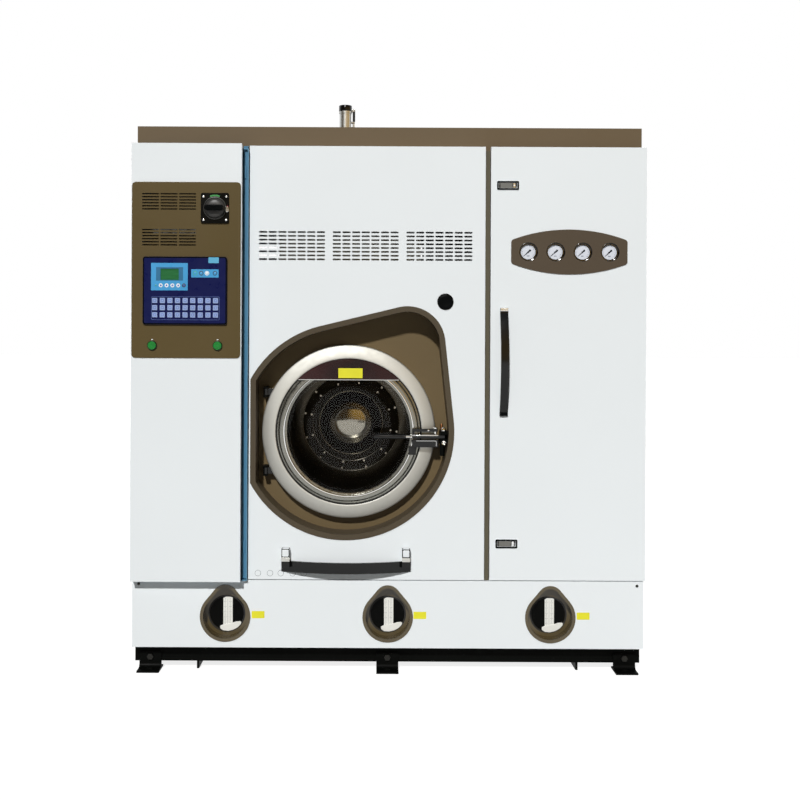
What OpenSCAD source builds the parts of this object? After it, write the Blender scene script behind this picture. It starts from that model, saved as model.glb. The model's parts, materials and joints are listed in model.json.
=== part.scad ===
// Free-standing dry cleaning machine with a front loading drum.
// +X is the machine's right as seen from the front, the front faces -Y, +Z is up.
// The origin is on the floor, at the centre of the anchor holes.

/* [Overall] */
// Width of the base frame, skirt and top cover
body_w = 1790; // [1760:5:1900]
// Depth of the base frame and of the top cover, front to rear
base_d = 1032; // [1000:2:1200]
// How far the front panels stand forward of the base frame
panel_stand = 59; // [50:1:70]
// Height of the panels and doors
panel_h = 1517; // [1480:1:1600]
// How far the right door stands out past the body's side
door_overhang = 5; // [3:1:8]
// How far the left door stays in from the body's side
door_inset = 2; // [0:1:4]
// Thickness of the sheet metal covers
sheet_t = 2; // [1.5:0.5:3]

/* [Base] */
// Height of the base frame above the floor
ground_gap = 27; // [22:1:40]
// Height of the base rails
rail_h = 64; // [50:1:80]
// Width of the base rails at the front and rear
rail_w = 48; // [40:1:60]
// Width of the base rails at the sides
side_rail_w = 38; // [30:1:40]
// Thickness of the spill tray in the base frame
tray_t = 5; // [3:1:6]
// Distance of the skid runners from the middle
skid_x = 672; // [640:1:700]
// Thickness of the skid runners
skid_t = 8; // [6:1:12]
// Distance of the outer anchor feet's middle in from the base's side
foot_inset = 55; // [45:1:75]
// Width of an anchor foot
foot_w = 78; // [70:1:90]
// Thickness of an anchor foot's plate
foot_t = 6; // [5:1:8]
// How far an anchor foot stands out from the base frame
foot_reach = 59; // [50:1:70]
// How far an anchor foot runs in under the base frame
foot_inner = 30; // [25:1:40]
// Height of the upright flange of an anchor foot
foot_h = 61; // [55:1:75]
// Radius of the bend between an anchor foot's plate and its flange
foot_bend = 16; // [10:1:20]
// Radius of the floor bolt hole in an anchor foot
anchor_r = 10; // [8:0.5:12]
// Distance of the floor bolt hole from the base frame's face
anchor_out = 20; // [18:1:30]
// Radius of the bolts that hold the feet
foot_bolt_r = 6; // [5:0.5:8]

/* [Tanks] */
// Height of the solvent tanks
tank_h = 231; // [220:1:240]
// Width of a tank
tank_w = 540; // [500:1:550]
// Gap between neighbouring tanks
tank_gap = 29; // [20:1:40]
// Depth of a tank
tank_d = 960; // [800:1:980]
// Wall of a tank
tank_wall = 3; // [2:1:4]
// Radius of a tank's window hole
window_r = 60; // [50:1:68]
// Height of the window's centre above the tank's bottom
window_z = 108; // [104:1:112]
// Thickness of the sight glass
sight_t = 8; // [6:1:10]
// Gap between the skirt and the doors above it
skirt_gap = 3; // [2:1:5]
// Larger radius of the collar round a sight glass
collar_r = 88.5; // [84:0.5:92]
// Smaller radius at the top of the collar
collar_top_r = 46; // [40:0.5:50]
// Distance between the collar's two arc centres
collar_rise = 66; // [60:0.5:70]
// Width of the collar's flat lip
collar_lip = 11; // [8:0.5:14]

/* [Front panels] */
// Width of the left door, which closes the control cabinet
left_door_w = 381; // [370:1:390]
// Gap between the left door and the centre panel
left_gap = 22; // [18:1:26]
// Gap between the centre panel and the right door
right_gap = 19; // [16:1:24]
// Width of the right door, which closes the service bay
right_door_w = 545; // [520:1:560]
// How far the left door stands forward of the centre panel
left_door_stand = 50; // [40:1:55]
// Thickness of the left door, with its folded edges
left_door_t = 28; // [24:1:32]
// Thickness of the right door, with its folded edges
right_door_t = 30; // [26:1:34]
// Gap between a door and the edge that it closes on
door_gap = 3; // [3:0.5:5]
// Radius of the knuckles of the door hinges
knuckle_r = 6; // [6:0.5:7]
// Length of one hinge knuckle
knuckle_h = 32; // [24:1:40]
// Radius of the hinge pins
hinge_pin_r = 3; // [2.5:0.1:4]

/* [Vents] */
// Number of slots in a row of one vent group
vent_cols = 7; // [5:1:8]
// Number of rows in a vent group
vent_rows = 8; // [6:1:10]
// Distance between the slots in a row
vent_pitch_x = 33.7; // [32:0.1:34.5]
// Distance between the rows
vent_pitch_z = 13.6; // [12:0.1:15]
// Length of a slot
slot_w = 28.8; // [24:0.1:30]
// Height of a slot
slot_h = 6.3; // [5:0.1:8]
// Distance between the middles of the vent groups
vent_group_pitch = 258; // [254:1:262]
// Height of the vent groups' middle above the panel's lower edge
vent_z = 1168; // [1140:1:1200]

/* [Recess] */
// Radius of the round part of the recess
recess_r = 380; // [376:1:386]
// Radius of the recess's upper right corner
recess_corner_r = 133; // [120:1:145]
// How far right of the round part's centre the corner lies
corner_dx = 215; // [205:1:225]
// How far above the round part's centre the corner lies
corner_dz = 307; // [295:1:320]
// How far left of the round part's centre the flat side lies
recess_flat = 334; // [332:1:336]
// Width of the recess's lip
recess_lip = 19; // [14:1:24]
// Depth of the recess
recess_depth = 108; // [104:1:112]
// Wall of the recess
recess_wall = 3; // [2:0.5:4]

/* [Drum] */
// How far right of the centre panel's left edge the drum's axis lies
drum_dx = 348.5; // [346:0.5:352]
// Height of the drum's axis above the panel's lower edge
drum_dz = 512.6; // [505:0.1:520]
// Outer radius of the drum
drum_r = 395; // [370:1:400]
// Wall of the drum
drum_wall = 3; // [2:0.5:4]
// Length of the drum
drum_len = 355; // [320:1:365]
// Radius of the drum's mouth
mouth_r = 245; // [240:1:260]
// How far the mouth's edge is turned back into the drum
mouth_turn = 14; // [10:1:20]
// Number of lifters in the drum
lifter_count = 3; // [3:1:4]
// Height of a lifter
lifter_h = 85; // [60:1:95]
// Number of perforations round the drum
perf_around = 24; // [16:4:32]
// Number of rows of perforations
perf_rows = 4; // [3:1:5]
// Radius of a perforation
perf_r = 6; // [4:0.5:8]
// Radial gap between the drum and its housing
drum_gap = 31; // [25:1:34]
// Wall of the drum housing
housing_wall = 4; // [3:1:5]
// Length of the drum housing
housing_len = 410; // [400:1:420]
// Inner radius of the loading port
port_r = 230; // [228:1:234]
// Radius of the drum's shaft
shaft_r = 30; // [25:1:35]
// Radial running clearance of shafts, pins and plungers in their bores
run_gap = 0.05; // [0.02:0.01:0.09]
// Length of the bearing housing
bearing_len = 200; // [160:1:220]
// Outer radius of the bearing housing
bearing_r = 75; // [65:1:85]

/* [Drive] */
// Outer radius of the drum's pulley
pulley_r = 240; // [220:1:250]
// Outer radius of the motor's pulley
motor_pulley_r = 55; // [50:1:70]
// Width of the pulleys
pulley_w = 60; // [56:1:70]
// Number of belts
belt_count = 3; // [2:1:3]
// Width of a belt
belt_w = 10; // [8:0.5:11]
// Thickness of a belt
belt_t = 9; // [8:0.5:10]
// How far right of the drum's axis the motor lies
motor_dx = 371.5; // [360:0.5:390]
// Height of the motor's axis above the deck
motor_z = 142; // [130:1:160]
// Radius of the motor's case
motor_r = 100; // [85:1:110]
// Length of the motor's case
motor_len = 190; // [160:1:200]
// Radius of the motor's shaft
motor_shaft_r = 14; // [12:0.5:16]

/* [Loading door] */
// Outer radius of the door ring
ring_r = 308; // [304:1:310]
// Thickness of the door ring
ring_t = 47; // [44:1:50]
// How far the ring's flat face falls back towards its edge
ring_fall = 3.5; // [2:0.5:4]
// Width of the ring's flat satin face
ring_face = 47; // [42:1:50]
// Width of the groove inside the flat face
ring_groove = 16; // [12:1:18]
// Width of the bright flange that holds the glass
ring_flange = 19; // [16:1:22]
// Gap between the ring and the floor of the recess
ring_gap = 3; // [2:0.5:4]
// Thickness of the door's glass bowl
glass_t = 8; // [6:1:10]
// How deep the bowl reaches behind the ring's front face
bowl_depth = 125; // [100:1:135]
// Radius of the bowl's bottom
bowl_r = 165; // [140:1:175]
// Distance from the ring's edge to the hinge axis
hinge_dx = 13; // [12:0.5:13.5]
// Distance from the ring's front face back to the hinge axis
hinge_dy = 5; // [4.5:0.5:6]
// Height of each hinge above and below the door's centre
hinge_dz = 140; // [138:1:144]
// Radius of the door's hinge pins
door_pin_r = 5; // [4:0.5:5.5]
// Radius of the door's hinge knuckles
door_knuckle_r = 8; // [7.5:0.5:8.5]

/* [Door latch] */
// How far below the door's centre the latch lies
latch_dz = 14.6; // [10:0.1:20]
// Distance of the latch's pivot from the ring's edge, outward
latch_dx = -0.5; // [-2:0.5:0]
// Distance of the latch's pivot in front of the ring
latch_dy = 17; // [16:0.5:19]
// Thickness of the latch bar
latch_t = 14; // [12:0.5:15]
// Length of the latch bar left of its pivot
latch_bar = 84; // [75:1:95]
// Length of the bright rod between bar and grip
latch_rod = 21; // [16:1:30]
// Length of the grip
grip_len = 116; // [100:1:125]
// Radius of the grip
grip_r = 9.5; // [8:0.5:11]
// Length of the latch's tongue right of its pivot
tongue_len = 34; // [32:1:36]
// Radius of the lock pin
lock_pin_r = 4; // [3:0.5:5]
// How far the lock pin travels
lock_travel = 18; // [14:1:20]

/* [Controls] */
// Width of the brown control fascia
fascia_w = 376; // [340:1:378]
// Height of the fascia
fascia_h = 608; // [590:1:620]
// Distance of the fascia's top from the door's top
fascia_top = 135; // [110:1:150]
// Thickness of the fascia
fascia_t = 3; // [2:0.5:4]
// Width of the controller
controller_w = 290; // [280:1:300]
// Height of the controller
controller_h = 234; // [225:1:240]
// Thickness of the controller where it stands out
controller_t = 8; // [6:1:12]
// Width of the main switch's plate
switch_plate_w = 97; // [90:1:104]
// Height of the main switch's plate
switch_plate_h = 105; // [98:1:110]
// Radius of the main switch's knob
switch_r = 35; // [30:1:38]
// Radius of the push buttons
button_r = 14; // [12:0.5:16]
// Radius of the ring round a push button
button_ring_r = 17; // [15.5:0.5:18]
// Travel of the push buttons
button_travel = 4; // [2:0.5:5]

/* [Right door parts] */
// Length of the bow handles' chord: right door
service_handle_len = 378; // [360:1:400]
// Width of the right door's handle
service_handle_w = 28; // [24:1:30]
// How far a bow handle stands out
handle_rise = 45; // [40:1:55]
// Thickness of a bow handle
handle_t = 8; // [6:0.5:10]
// Distance between neighbouring pressure gauges
gauge_pitch = 95; // [90:0.5:100]
// Radius of a gauge
gauge_r = 29; // [26:0.5:30]
// Radial gap between a gauge and its hole in the plate
gauge_gap = 4; // [3:0.5:5]
// Width of the gauge plate
gauge_plate_w = 407; // [390:1:415]
// Height of the gauge plate in its middle
gauge_plate_h = 157; // [150:1:165]
// Height of the gauge plate's straight ends
gauge_plate_end = 82; // [76:1:90]
// Radius of the gauge plate's corners
gauge_plate_r = 12; // [8:1:16]
// Width of a flush latch
paddle_w = 77; // [72:1:84]
// Height of a flush latch
paddle_h = 31; // [28:1:34]

/* [Lower handle] */
// Length of the bow handle under the drum door
lower_handle_len = 452; // [430:1:470]
// Height of its strip
lower_handle_h = 38; // [32:1:42]
// Radius of the black plug above the drum door
plug_r = 28.5; // [25:0.5:32]

/* [Top] */
// Height of the top cover
cover_h = 90; // [80:1:100]
// How far the panels reach up in front of the top cover
cover_lap = 13; // [10:1:16]
// Radius of the damper cylinder on top
damper_r = 22; // [18:1:26]
// How far the damper cylinder stands above the top cover
damper_rise = 124; // [100:1:150]

/* [Rear connections] */
// Bore radius of the pipe stubs at the rear
stub_bore_r = 10.5; // [8:0.5:13]
// Outer radius of the pipes
pipe_r = 17; // [15:0.5:20]
// How far the stubs stand out of the rear panel
stub_len = 40; // [30:1:60]

/* [Hidden] */
$fn = 64;
round_fn = 96;
cut = 1;
fit_gap = 0.3;
side_in = 0.05;

// Heights
base_z = ground_gap + rail_h;
foot_x = body_w / 2 - foot_inset;
tank_pitch = tank_w + tank_gap;
foot_bolt_z = (ground_gap + foot_h) / 2;
window_axis_z = base_z + window_z;
tank_top = base_z + tank_h;
deck_t = 6;
deck_top = tank_top + deck_t;
panel_z0 = deck_top + 2;
panel_z1 = panel_z0 + panel_h;
skirt_top = panel_z0 - skirt_gap;
cover_z0 = panel_z1 - cover_lap;
cover_z1 = cover_z0 + cover_h;

// Depths: the front of the frame, the main panels and the left door
frame_y = -base_d / 2;
rear_y = base_d / 2;
panel_y = frame_y - panel_stand;
left_door_y = panel_y - left_door_stand;
left_door_back = left_door_y + left_door_t;
right_door_back = panel_y + right_door_t;

// Widths: the edges of the panels from left to right
side_x = body_w / 2;
left_x0 = -side_x + door_inset;
left_x1 = left_x0 + left_door_w;
center_x0 = left_x1 + left_gap;
right_x1 = side_x + door_overhang;
right_x0 = right_x1 - right_door_w;
center_x1 = right_x0 - right_gap;

// Drum axis and recess
drum_x = center_x0 + drum_dx;
drum_z = panel_z0 + drum_dz;
recess_x = drum_x - 8.5;
recess_z = drum_z + 5.4;
floor_y = panel_y + recess_depth;
ring_back = floor_y - ring_gap;
ring_y = ring_back - ring_t;
housing_y = floor_y + 27;
housing_r = drum_r + drum_gap + housing_wall;
housing_back = housing_y + housing_len;
drum_y = housing_y + housing_wall + 11;
drum_back = drum_y + drum_len;
bearing_y = housing_back;
bearing_back = bearing_y + bearing_len;
pulley_y = bearing_back + 20;

// Motor and belts
motor_x = drum_x + motor_dx;
motor_axis_z = deck_top + motor_z;
belt_dx = motor_x - drum_x;
belt_dz = motor_axis_z - drum_z;
belt_span = sqrt(belt_dx * belt_dx + belt_dz * belt_dz);
belt_angle = atan2(belt_dz, belt_dx);
groove_d = belt_t + 3;
groove_pitch = pulley_w / 4;

// Loading door hinge and latch
door_axis_x = drum_x - ring_r + hinge_dx;
door_axis_y = ring_y + hinge_dy;
arm_h = 24;
latch_x = drum_x + ring_r + latch_dx;
latch_y = ring_y - latch_dy;
latch_z = drum_z - latch_dz;
catch_x0 = latch_x + 17;
catch_x1 = latch_x + 42;
lock_x = latch_x + 24;
lock_y = latch_y - latch_t / 2 - lock_pin_r - 1.3;
cheek_t = 12;
cheek_gap = 1;
lock_case_h = 46;

// Control fascia
fascia_x = left_x0 + left_door_w / 2;
fascia_z1 = panel_z1 - fascia_top;
fascia_z0 = fascia_z1 - fascia_h;
fascia_z = (fascia_z0 + fascia_z1) / 2;
fascia_y = left_door_y - fascia_t;
controller_x = fascia_x - 3;
controller_z = fascia_z0 + 232.5;
switch_x = fascia_x + 99;
switch_z = fascia_z1 - 90.5;
button_z = fascia_z0 + 43;
button_dx = 113;
button_x = fascia_x - 3;
air_slots_x = fascia_x - 60;
air_slots_z = (fascia_z1 + controller_z + controller_h / 2) / 2;
air_bank_dz = 62;
air_slot_w = 59;
air_slot_h = 4.6;
air_pitch_x = 64;
air_pitch_z = 10.5;

// Cabinet behind the left door
box_y = left_door_back + door_gap;
box_back = housing_y - 16;
box_x1 = center_x0 - 2;

// Right door parts
gauge_x = right_x0 + 274.5;
gauge_z = panel_z1 - 367;
gauge_y = panel_y + 9;
gauge_depth = 34;
service_handle_x = right_x0 + 47;
service_handle_z = panel_z0 + 765;
paddle_x = right_x0 + 59;
paddle_top_z = panel_z1 - 135;
paddle_low_z = panel_z0 + 128;

// Lower handle and plug
lower_handle_x = drum_x - 5.5;
lower_handle_z = panel_z0 + 47;
plug_x = center_x1 - 139;
plug_z = panel_z1 - 543;
vent_x = center_x0 + 407;

// Posts and rails of the frame
post_w = 50;
rail_z = cover_z0 - post_w;
damper_x = drum_x - 22.5;
damper_y = frame_y + 241;

// Hinges of the two tall doors: heights, and axes near the doors' outer back corners
hinge_inset = 5;
hinge_zs = [for (i = [0:2]) panel_z0 + panel_h * (0.08 + 0.42 * i)];
left_axis = [left_x0 + hinge_inset, left_door_back - hinge_inset];
right_axis = [right_x1 - hinge_inset, right_door_back - hinge_inset];

// Air duct and blower
duct_z0 = drum_z + housing_r - 60;
duct_z1 = rail_z - 60;
duct_y0 = housing_y + 40;
duct_y1 = housing_back - 30;
duct_flange = 15;
duct_wall = 3;
blower_y = duct_y1 + duct_flange;
blower_w = 110;
blower_r = 165;
fan_z = duct_z0 + 310;
blower_motor_r = 82;
blower_motor_len = 200;

// Service bay
bay_x = (right_x0 + side_x) / 2;
still_x = bay_x + 15;
still_y = 190;
still_z = deck_top + 90;
still_r = 185;
still_h = 430;
still_dome = 80;
still_top = still_z + still_h + 16 + still_dome;
vessel_wall = 5;
vapour_r = 60;
condenser_h = 420;
condenser_r = 85;
filter_x = right_x0 + 165;
filter_y = frame_y + 290;
filter_r = 140;
filter_top = deck_top + 690;
solvent_line_z = deck_top + 420;
solvent_pipe_r = pipe_r - 4;
pump_x = side_x - 135;
pump_y = frame_y + 200;
pump_z = deck_top + 100;
pump_outlet_y = pump_y - 44;

// Rear stubs: cooling water in and out of the condenser, then the still's steam and condensate
stubs = [
    [still_x, still_top + 70, still_y + 110 + fit_gap],
    [still_x, still_top + 370, still_y + 110 + fit_gap],
    [still_x + 50, still_z + 40, still_y + 182],
    [still_x - 50, still_z + 40, still_y + 182]
];
stub_end = rear_y + sheet_t + stub_len;

steel_white = [0.90, 0.93, 0.95];
brown = [0.42, 0.36, 0.26];
black = [0.07, 0.08, 0.08];
steel = [0.72, 0.73, 0.74];
chrome = [0.86, 0.87, 0.88];

// ---- Shared shapes ----

// Box from its lowest corner to its highest corner
module box(low, high)
    translate(low) cube([high[0] - low[0], high[1] - low[1], high[2] - low[2]]);

// Extrudes an outline drawn in X and Z from y0 back to y0 + t
module plate(y0, t)
    translate([0, y0 + t, 0]) rotate([90, 0, 0]) linear_extrude(t) children();

// Cylinder whose axis runs back along Y
module rod(x, z, y0, len, r)
    translate([x, y0, z]) rotate([-90, 0, 0]) cylinder(h = len, r = r, $fn = round_fn);

// Upright cylinder
module post(x, y, z0, h, r)
    translate([x, y, z0]) cylinder(h = h, r = r);

// Revolves a profile of (radius, depth) points about a Y axis through (x, z)
module turned(x, z)
    translate([x, 0, z]) rotate([-90, 0, 0]) rotate_extrude($fn = round_fn) children();

// Rectangle with round corners, centred on the origin
module round_rect(w, h, r) {
    square([w - 2 * r, h], center = true);
    square([w, h - 2 * r], center = true);
    for (sx = [-1, 1], sz = [-1, 1])
        translate([sx * (w / 2 - r), sz * (h / 2 - r)]) circle(r, $fn = 32);
}

// Slot with round ends, centred on the origin
module slot(w, h) {
    square([w - h, h], center = true);
    for (s = [-1, 1]) translate([s * (w - h) / 2, 0]) circle(h / 2, $fn = 16);
}

// Two circles a distance d apart along X, joined by straight sides just inside their tangents
module tangent_pair(r1, r2, d) {
    a = acos((r1 - r2) / d);
    s1 = r1 - side_in;
    s2 = r2 - side_in;
    circle(r1, $fn = round_fn);
    translate([d, 0]) circle(r2, $fn = round_fn);
    polygon([
        [s1 * cos(a), -s1 * sin(a)], [d + s2 * cos(a), -s2 * sin(a)],
        [d + s2 * cos(a), s2 * sin(a)], [s1 * cos(a), s1 * sin(a)]
    ]);
}

// Bow strip drawn with its chord along X and its rise along +Y
module bow_2d(len, rise, t) {
    r = (len * len / 4 + rise * rise) / (2 * rise);
    intersection() {
        translate([0, rise - r]) difference() {
            circle(r, $fn = 180);
            circle(r - t, $fn = 180);
        }
        translate([-len / 2, 0]) square([len, rise]);
    }
}

// Shallow pan: a sheet at y0 with its four edges folded back to y1
module pan(x0, x1, z0, z1, y0, y1) {
    difference() {
        box([x0, y0, z0], [x1, y1, z1]);
        box([x0 + sheet_t, y0 + sheet_t, z0 + sheet_t], [x1 - sheet_t, y1 + cut, z1 - sheet_t]);
    }
}

// ---- Base ----

module base_frame() color(black) {
    difference() {
        box([-side_x, frame_y, ground_gap], [side_x, rear_y, base_z]);
        box([-side_x + side_rail_w, frame_y + rail_w, ground_gap - cut],
            [side_x - side_rail_w, rear_y - rail_w, base_z - tray_t]);
        for (x = [-foot_x, 0, foot_x], s = [-1, 1])
            rod(x, foot_bolt_z, s * (base_d / 2 - rail_w / 2) - rail_w / 2 - cut,
                rail_w + 2 * cut, foot_bolt_r + fit_gap);
    }
    for (s = [-1, 1])
        translate([s * skid_x - skid_t / 2, frame_y, 0])
            cube([skid_t, base_d, base_z - tray_t / 2]);
}

module anchor_foot(x, s) {
    face_y = s * base_d / 2;
    difference() {
        union() {
            box([x - foot_w / 2, min(face_y + s * foot_reach, face_y - s * foot_inner), 0],
                [x + foot_w / 2, max(face_y + s * foot_reach, face_y - s * foot_inner), foot_t]);
            box([x - foot_w / 2, min(face_y, face_y + s * foot_t), 0],
                [x + foot_w / 2, max(face_y, face_y + s * foot_t), foot_h]);
            // Web of the bend, hollowed to its radius
            translate([x, face_y + s * foot_t, foot_t]) difference() {
                box([-foot_w / 2, min(-cut, s * foot_bend), -cut], [foot_w / 2, max(cut, s * foot_bend), foot_bend]);
                translate([-foot_w, s * foot_bend, foot_bend]) rotate([0, 90, 0])
                    cylinder(h = 2 * foot_w, r = foot_bend - fit_gap);
            }
        }
        translate([x, face_y + s * (foot_t + anchor_out), -cut])
            cylinder(h = foot_t + foot_bend, r = anchor_r);
        rod(x, foot_bolt_z, face_y - foot_t - cut, 2 * foot_t + 2 * cut, foot_bolt_r + fit_gap);
    }
}

module anchor_feet() color(black)
    for (x = [-foot_x, 0, foot_x], s = [-1, 1]) anchor_foot(x, s);

// One bolt with its head outside the foot and its nut inside the rail
module foot_bolt(x, s) {
    head = foot_bolt_r * 1.9;
    face = base_d / 2 + foot_t;
    translate([x, 0, foot_bolt_z]) rotate([s > 0 ? -90 : 90, 0, 0]) {
        translate([0, 0, face]) cylinder(h = 8, r = head, $fn = 6);
        translate([0, 0, base_d / 2 - rail_w - 12]) cylinder(h = rail_w + foot_t + 12, r = foot_bolt_r);
        translate([0, 0, base_d / 2 - rail_w - 10]) cylinder(h = 10, r = head, $fn = 6);
    }
}

module foot_bolts() color(steel)
    for (x = [-foot_x, 0, foot_x], s = [-1, 1]) foot_bolt(x, s);

// ---- Tanks and skirt ----

module tank(x) color(steel) {
    difference() {
        box([x - tank_w / 2, frame_y, base_z], [x + tank_w / 2, frame_y + tank_d, tank_top]);
        box([x - tank_w / 2 + tank_wall, frame_y + tank_wall, base_z + tank_wall],
            [x + tank_w / 2 - tank_wall, frame_y + tank_d - tank_wall, tank_top - tank_wall]);
        rod(x, window_axis_z, frame_y - cut, tank_wall + 2 * cut, window_r);
    }
}

module tank_left() tank(-tank_pitch);
module tank_center() tank(0);
module tank_right() tank(tank_pitch);

// Pear-shaped outline of a collar, drawn in by the given inset
module collar_2d(inset)
    rotate(90) tangent_pair(collar_r - inset, collar_top_r - inset, collar_rise);

module sight_collar(x) {
    back = frame_y - sight_t - fit_gap;
    translate([x, 0, window_axis_z]) {
        difference() {
            plate(panel_y - sheet_t, sheet_t) collar_2d(0);
            plate(panel_y - sheet_t - cut, sheet_t + 2 * cut) collar_2d(collar_lip);
        }
        difference() {
            plate(panel_y - sheet_t, back - panel_y + sheet_t) collar_2d(collar_lip - sheet_t);
            plate(panel_y - sheet_t - cut, back - panel_y) collar_2d(collar_lip);
            rod(0, 0, back - 2 * sheet_t, 3 * sheet_t, window_r);
        }
    }
}

module sight_collars() color(brown)
    for (i = [-1:1]) sight_collar(i * tank_pitch);

module sight_glasses() color([0.25, 0.28, 0.26, 0.5])
    for (i = [-1:1]) rod(i * tank_pitch, window_axis_z, frame_y - sight_t, sight_t, window_r + 9);

module skirt_panel() color(steel_white) {
    difference() {
        pan(-side_x, side_x, base_z, skirt_top, panel_y, frame_y);
        for (i = [-1:1])
            translate([i * tank_pitch, 0, window_axis_z])
                plate(panel_y - cut, sheet_t + 2 * cut) collar_2d(collar_lip - sheet_t - fit_gap);
    }
}

// ---- Frame and covers ----

// Deck, posts and rails, welded up as one frame
module cabinet_frame() color(brown) {
    box([-side_x, frame_y, tank_top], [side_x, rear_y, deck_top]);
    post_z = deck_top - cut;
    for (x = [-side_x, side_x - post_w])
        box([x, rear_y - post_w, post_z], [x + post_w, rear_y, cover_z0]);
    box([-side_x, box_back, post_z], [-side_x + post_w, box_back + post_w, cover_z0]);
    box([side_x - post_w, frame_y, post_z], [side_x, frame_y + post_w, cover_z0]);
    box([center_x1 + 2, panel_y + 9, deck_top], [right_x0 - 2, frame_y + post_w, cover_z0]);
    box([center_x1 + 2, frame_y, post_z], [right_x0 - 2, frame_y + post_w, cover_z0]);
    box([-side_x, rear_y - post_w, rail_z], [side_x, rear_y, cover_z0]);
    box([-side_x, box_back, rail_z], [-side_x + post_w, rear_y - cut, cover_z0]);
    box([side_x - post_w, frame_y, rail_z], [side_x, rear_y - cut, cover_z0]);
    box([center_x0, frame_y, rail_z], [side_x - cut, frame_y + post_w, cover_z0]);
    box([center_x0, frame_y + cut, rail_z], [center_x0 + post_w, rear_y - cut, cover_z0]);
    // Strip that closes the top of the service bay in front of the rail
    box([right_x0 - 2 - cut, right_door_back + door_gap, cover_z0 - 3], [side_x, frame_y + cut, cover_z0]);
}

module top_cover() color(brown) {
    difference() {
        box([-side_x, frame_y, cover_z0], [side_x, rear_y, cover_z1]);
        box([-side_x + sheet_t, frame_y + sheet_t, cover_z0 - cut],
            [side_x - sheet_t, rear_y - sheet_t, cover_z1 - sheet_t]);
        post(damper_x, damper_y, cover_z1 - 10, 20, damper_r + 4);
    }
}

module left_side_panel() color(steel_white) {
    box([-side_x - sheet_t, box_back + sheet_t, base_z], [-side_x, rear_y, cover_z0]);
    box([-side_x - sheet_t, frame_y, base_z], [-side_x, rear_y, deck_top]);
}

module right_side_panel() color(steel_white) {
    box([side_x, right_door_back + door_gap, deck_top], [side_x + sheet_t, rear_y, cover_z0]);
    box([side_x, frame_y, base_z], [side_x + sheet_t, rear_y, cover_z0]);
}

// Louvre slots in rows over the rear panel, clear of the pipe stubs
module rear_panel() color(steel_white) {
    difference() {
        box([-side_x, rear_y, base_z], [side_x, rear_y + sheet_t, cover_z0]);
        for (col = [-1:1], row = [0:5])
            translate([col * 560, 0, cover_z0 - 260 - row * 34])
                plate(rear_y - cut, sheet_t + 2 * cut) slot(320, 12);
        for (p = stubs) rod(p[0], p[1], rear_y - cut, sheet_t + 2 * cut, pipe_r + fit_gap);
    }
}

module center_panel() color(steel_white) {
    difference() {
        pan(center_x0, center_x1, panel_z0, panel_z1, panel_y, frame_y);
        translate([recess_x, 0, recess_z])
            plate(panel_y - cut, sheet_t + 2 * cut) recess_2d(recess_lip - recess_wall - fit_gap);
        rod(plug_x, plug_z, panel_y - cut, sheet_t + 2 * cut, plug_r - 5);
        plate(panel_y - cut, sheet_t + 2 * cut)
            for (g = [-1:1], col = [0:vent_cols - 1], row = [0:vent_rows - 1])
                translate([vent_x + g * vent_group_pitch + (col - (vent_cols - 1) / 2) * vent_pitch_x,
                           panel_z0 + vent_z + (row - (vent_rows - 1) / 2) * vent_pitch_z])
                    slot(slot_w, slot_h);
    }
}

// Outline of the recess, drawn in by the given inset
module recess_2d(inset) {
    reach = sqrt(corner_dx * corner_dx + corner_dz * corner_dz);
    intersection() {
        rotate(atan2(corner_dz, corner_dx))
            tangent_pair(recess_r - inset, recess_corner_r - inset, reach);
        translate([-recess_flat + inset, -2 * recess_r]) square([4 * recess_r, 5 * recess_r]);
    }
}

// Lip and wall of the recess
module recess_shroud() color(brown)
    translate([recess_x, 0, recess_z])
        difference() {
            union() {
                plate(panel_y - sheet_t, sheet_t) recess_2d(0);
                plate(panel_y - sheet_t, recess_depth + sheet_t) recess_2d(recess_lip - recess_wall);
            }
            plate(panel_y - sheet_t - cut, recess_depth + sheet_t + 2 * cut) recess_2d(recess_lip);
        }

// Plate behind the wall, with the hole for the loading port
module recess_floor() color(brown)
    difference() {
        translate([recess_x, 0, recess_z]) plate(floor_y, recess_wall) recess_2d(recess_lip - recess_wall);
        rod(drum_x, drum_z, floor_y - cut, recess_wall + 2 * cut, port_r + 5);
    }

module panel_plug() color(black) {
    difference() {
        union() {
            rod(plug_x, plug_z, panel_y - 3, 3, plug_r);
            rod(plug_x, plug_z, panel_y - 3, 12, plug_r - 5 - fit_gap);
        }
        rod(plug_x, plug_z, panel_y - 3 - cut, 1 + cut, plug_r - 9);
    }
}

module lower_handle() color(black) {
    translate([lower_handle_x, panel_y, lower_handle_z - lower_handle_h / 2])
        mirror([0, 1, 0]) linear_extrude(lower_handle_h)
            bow_2d(lower_handle_len, handle_rise, handle_t);
    for (s = [-1, 1])
        translate([lower_handle_x + s * (lower_handle_len / 2 - 16), panel_y, lower_handle_z + 20])
            translate([-14, -26, -22]) cube([28, 26, 66]);
}

// ---- Drum housing and drive ----

module drum_housing() color(steel) {
    leg_w = 60;
    difference() {
        union() {
            rod(drum_x, drum_z, housing_y, housing_len, housing_r);
            rod(drum_x, drum_z, floor_y + recess_wall + fit_gap, housing_y - floor_y, port_r + 8);
            for (s = [-1, 1])
                box([drum_x + s * 260 - leg_w / 2, housing_y + 30, deck_top],
                    [drum_x + s * 260 + leg_w / 2, housing_back - 30, drum_z - housing_r * 0.6]);
        }
        rod(drum_x, drum_z, housing_y + housing_wall, housing_len - 2 * housing_wall,
            housing_r - housing_wall);
        rod(drum_x, drum_z, floor_y, 60, port_r);
        rod(drum_x, drum_z, housing_back - 2 * housing_wall, 3 * housing_wall, shaft_r + 5);
    }
}

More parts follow.
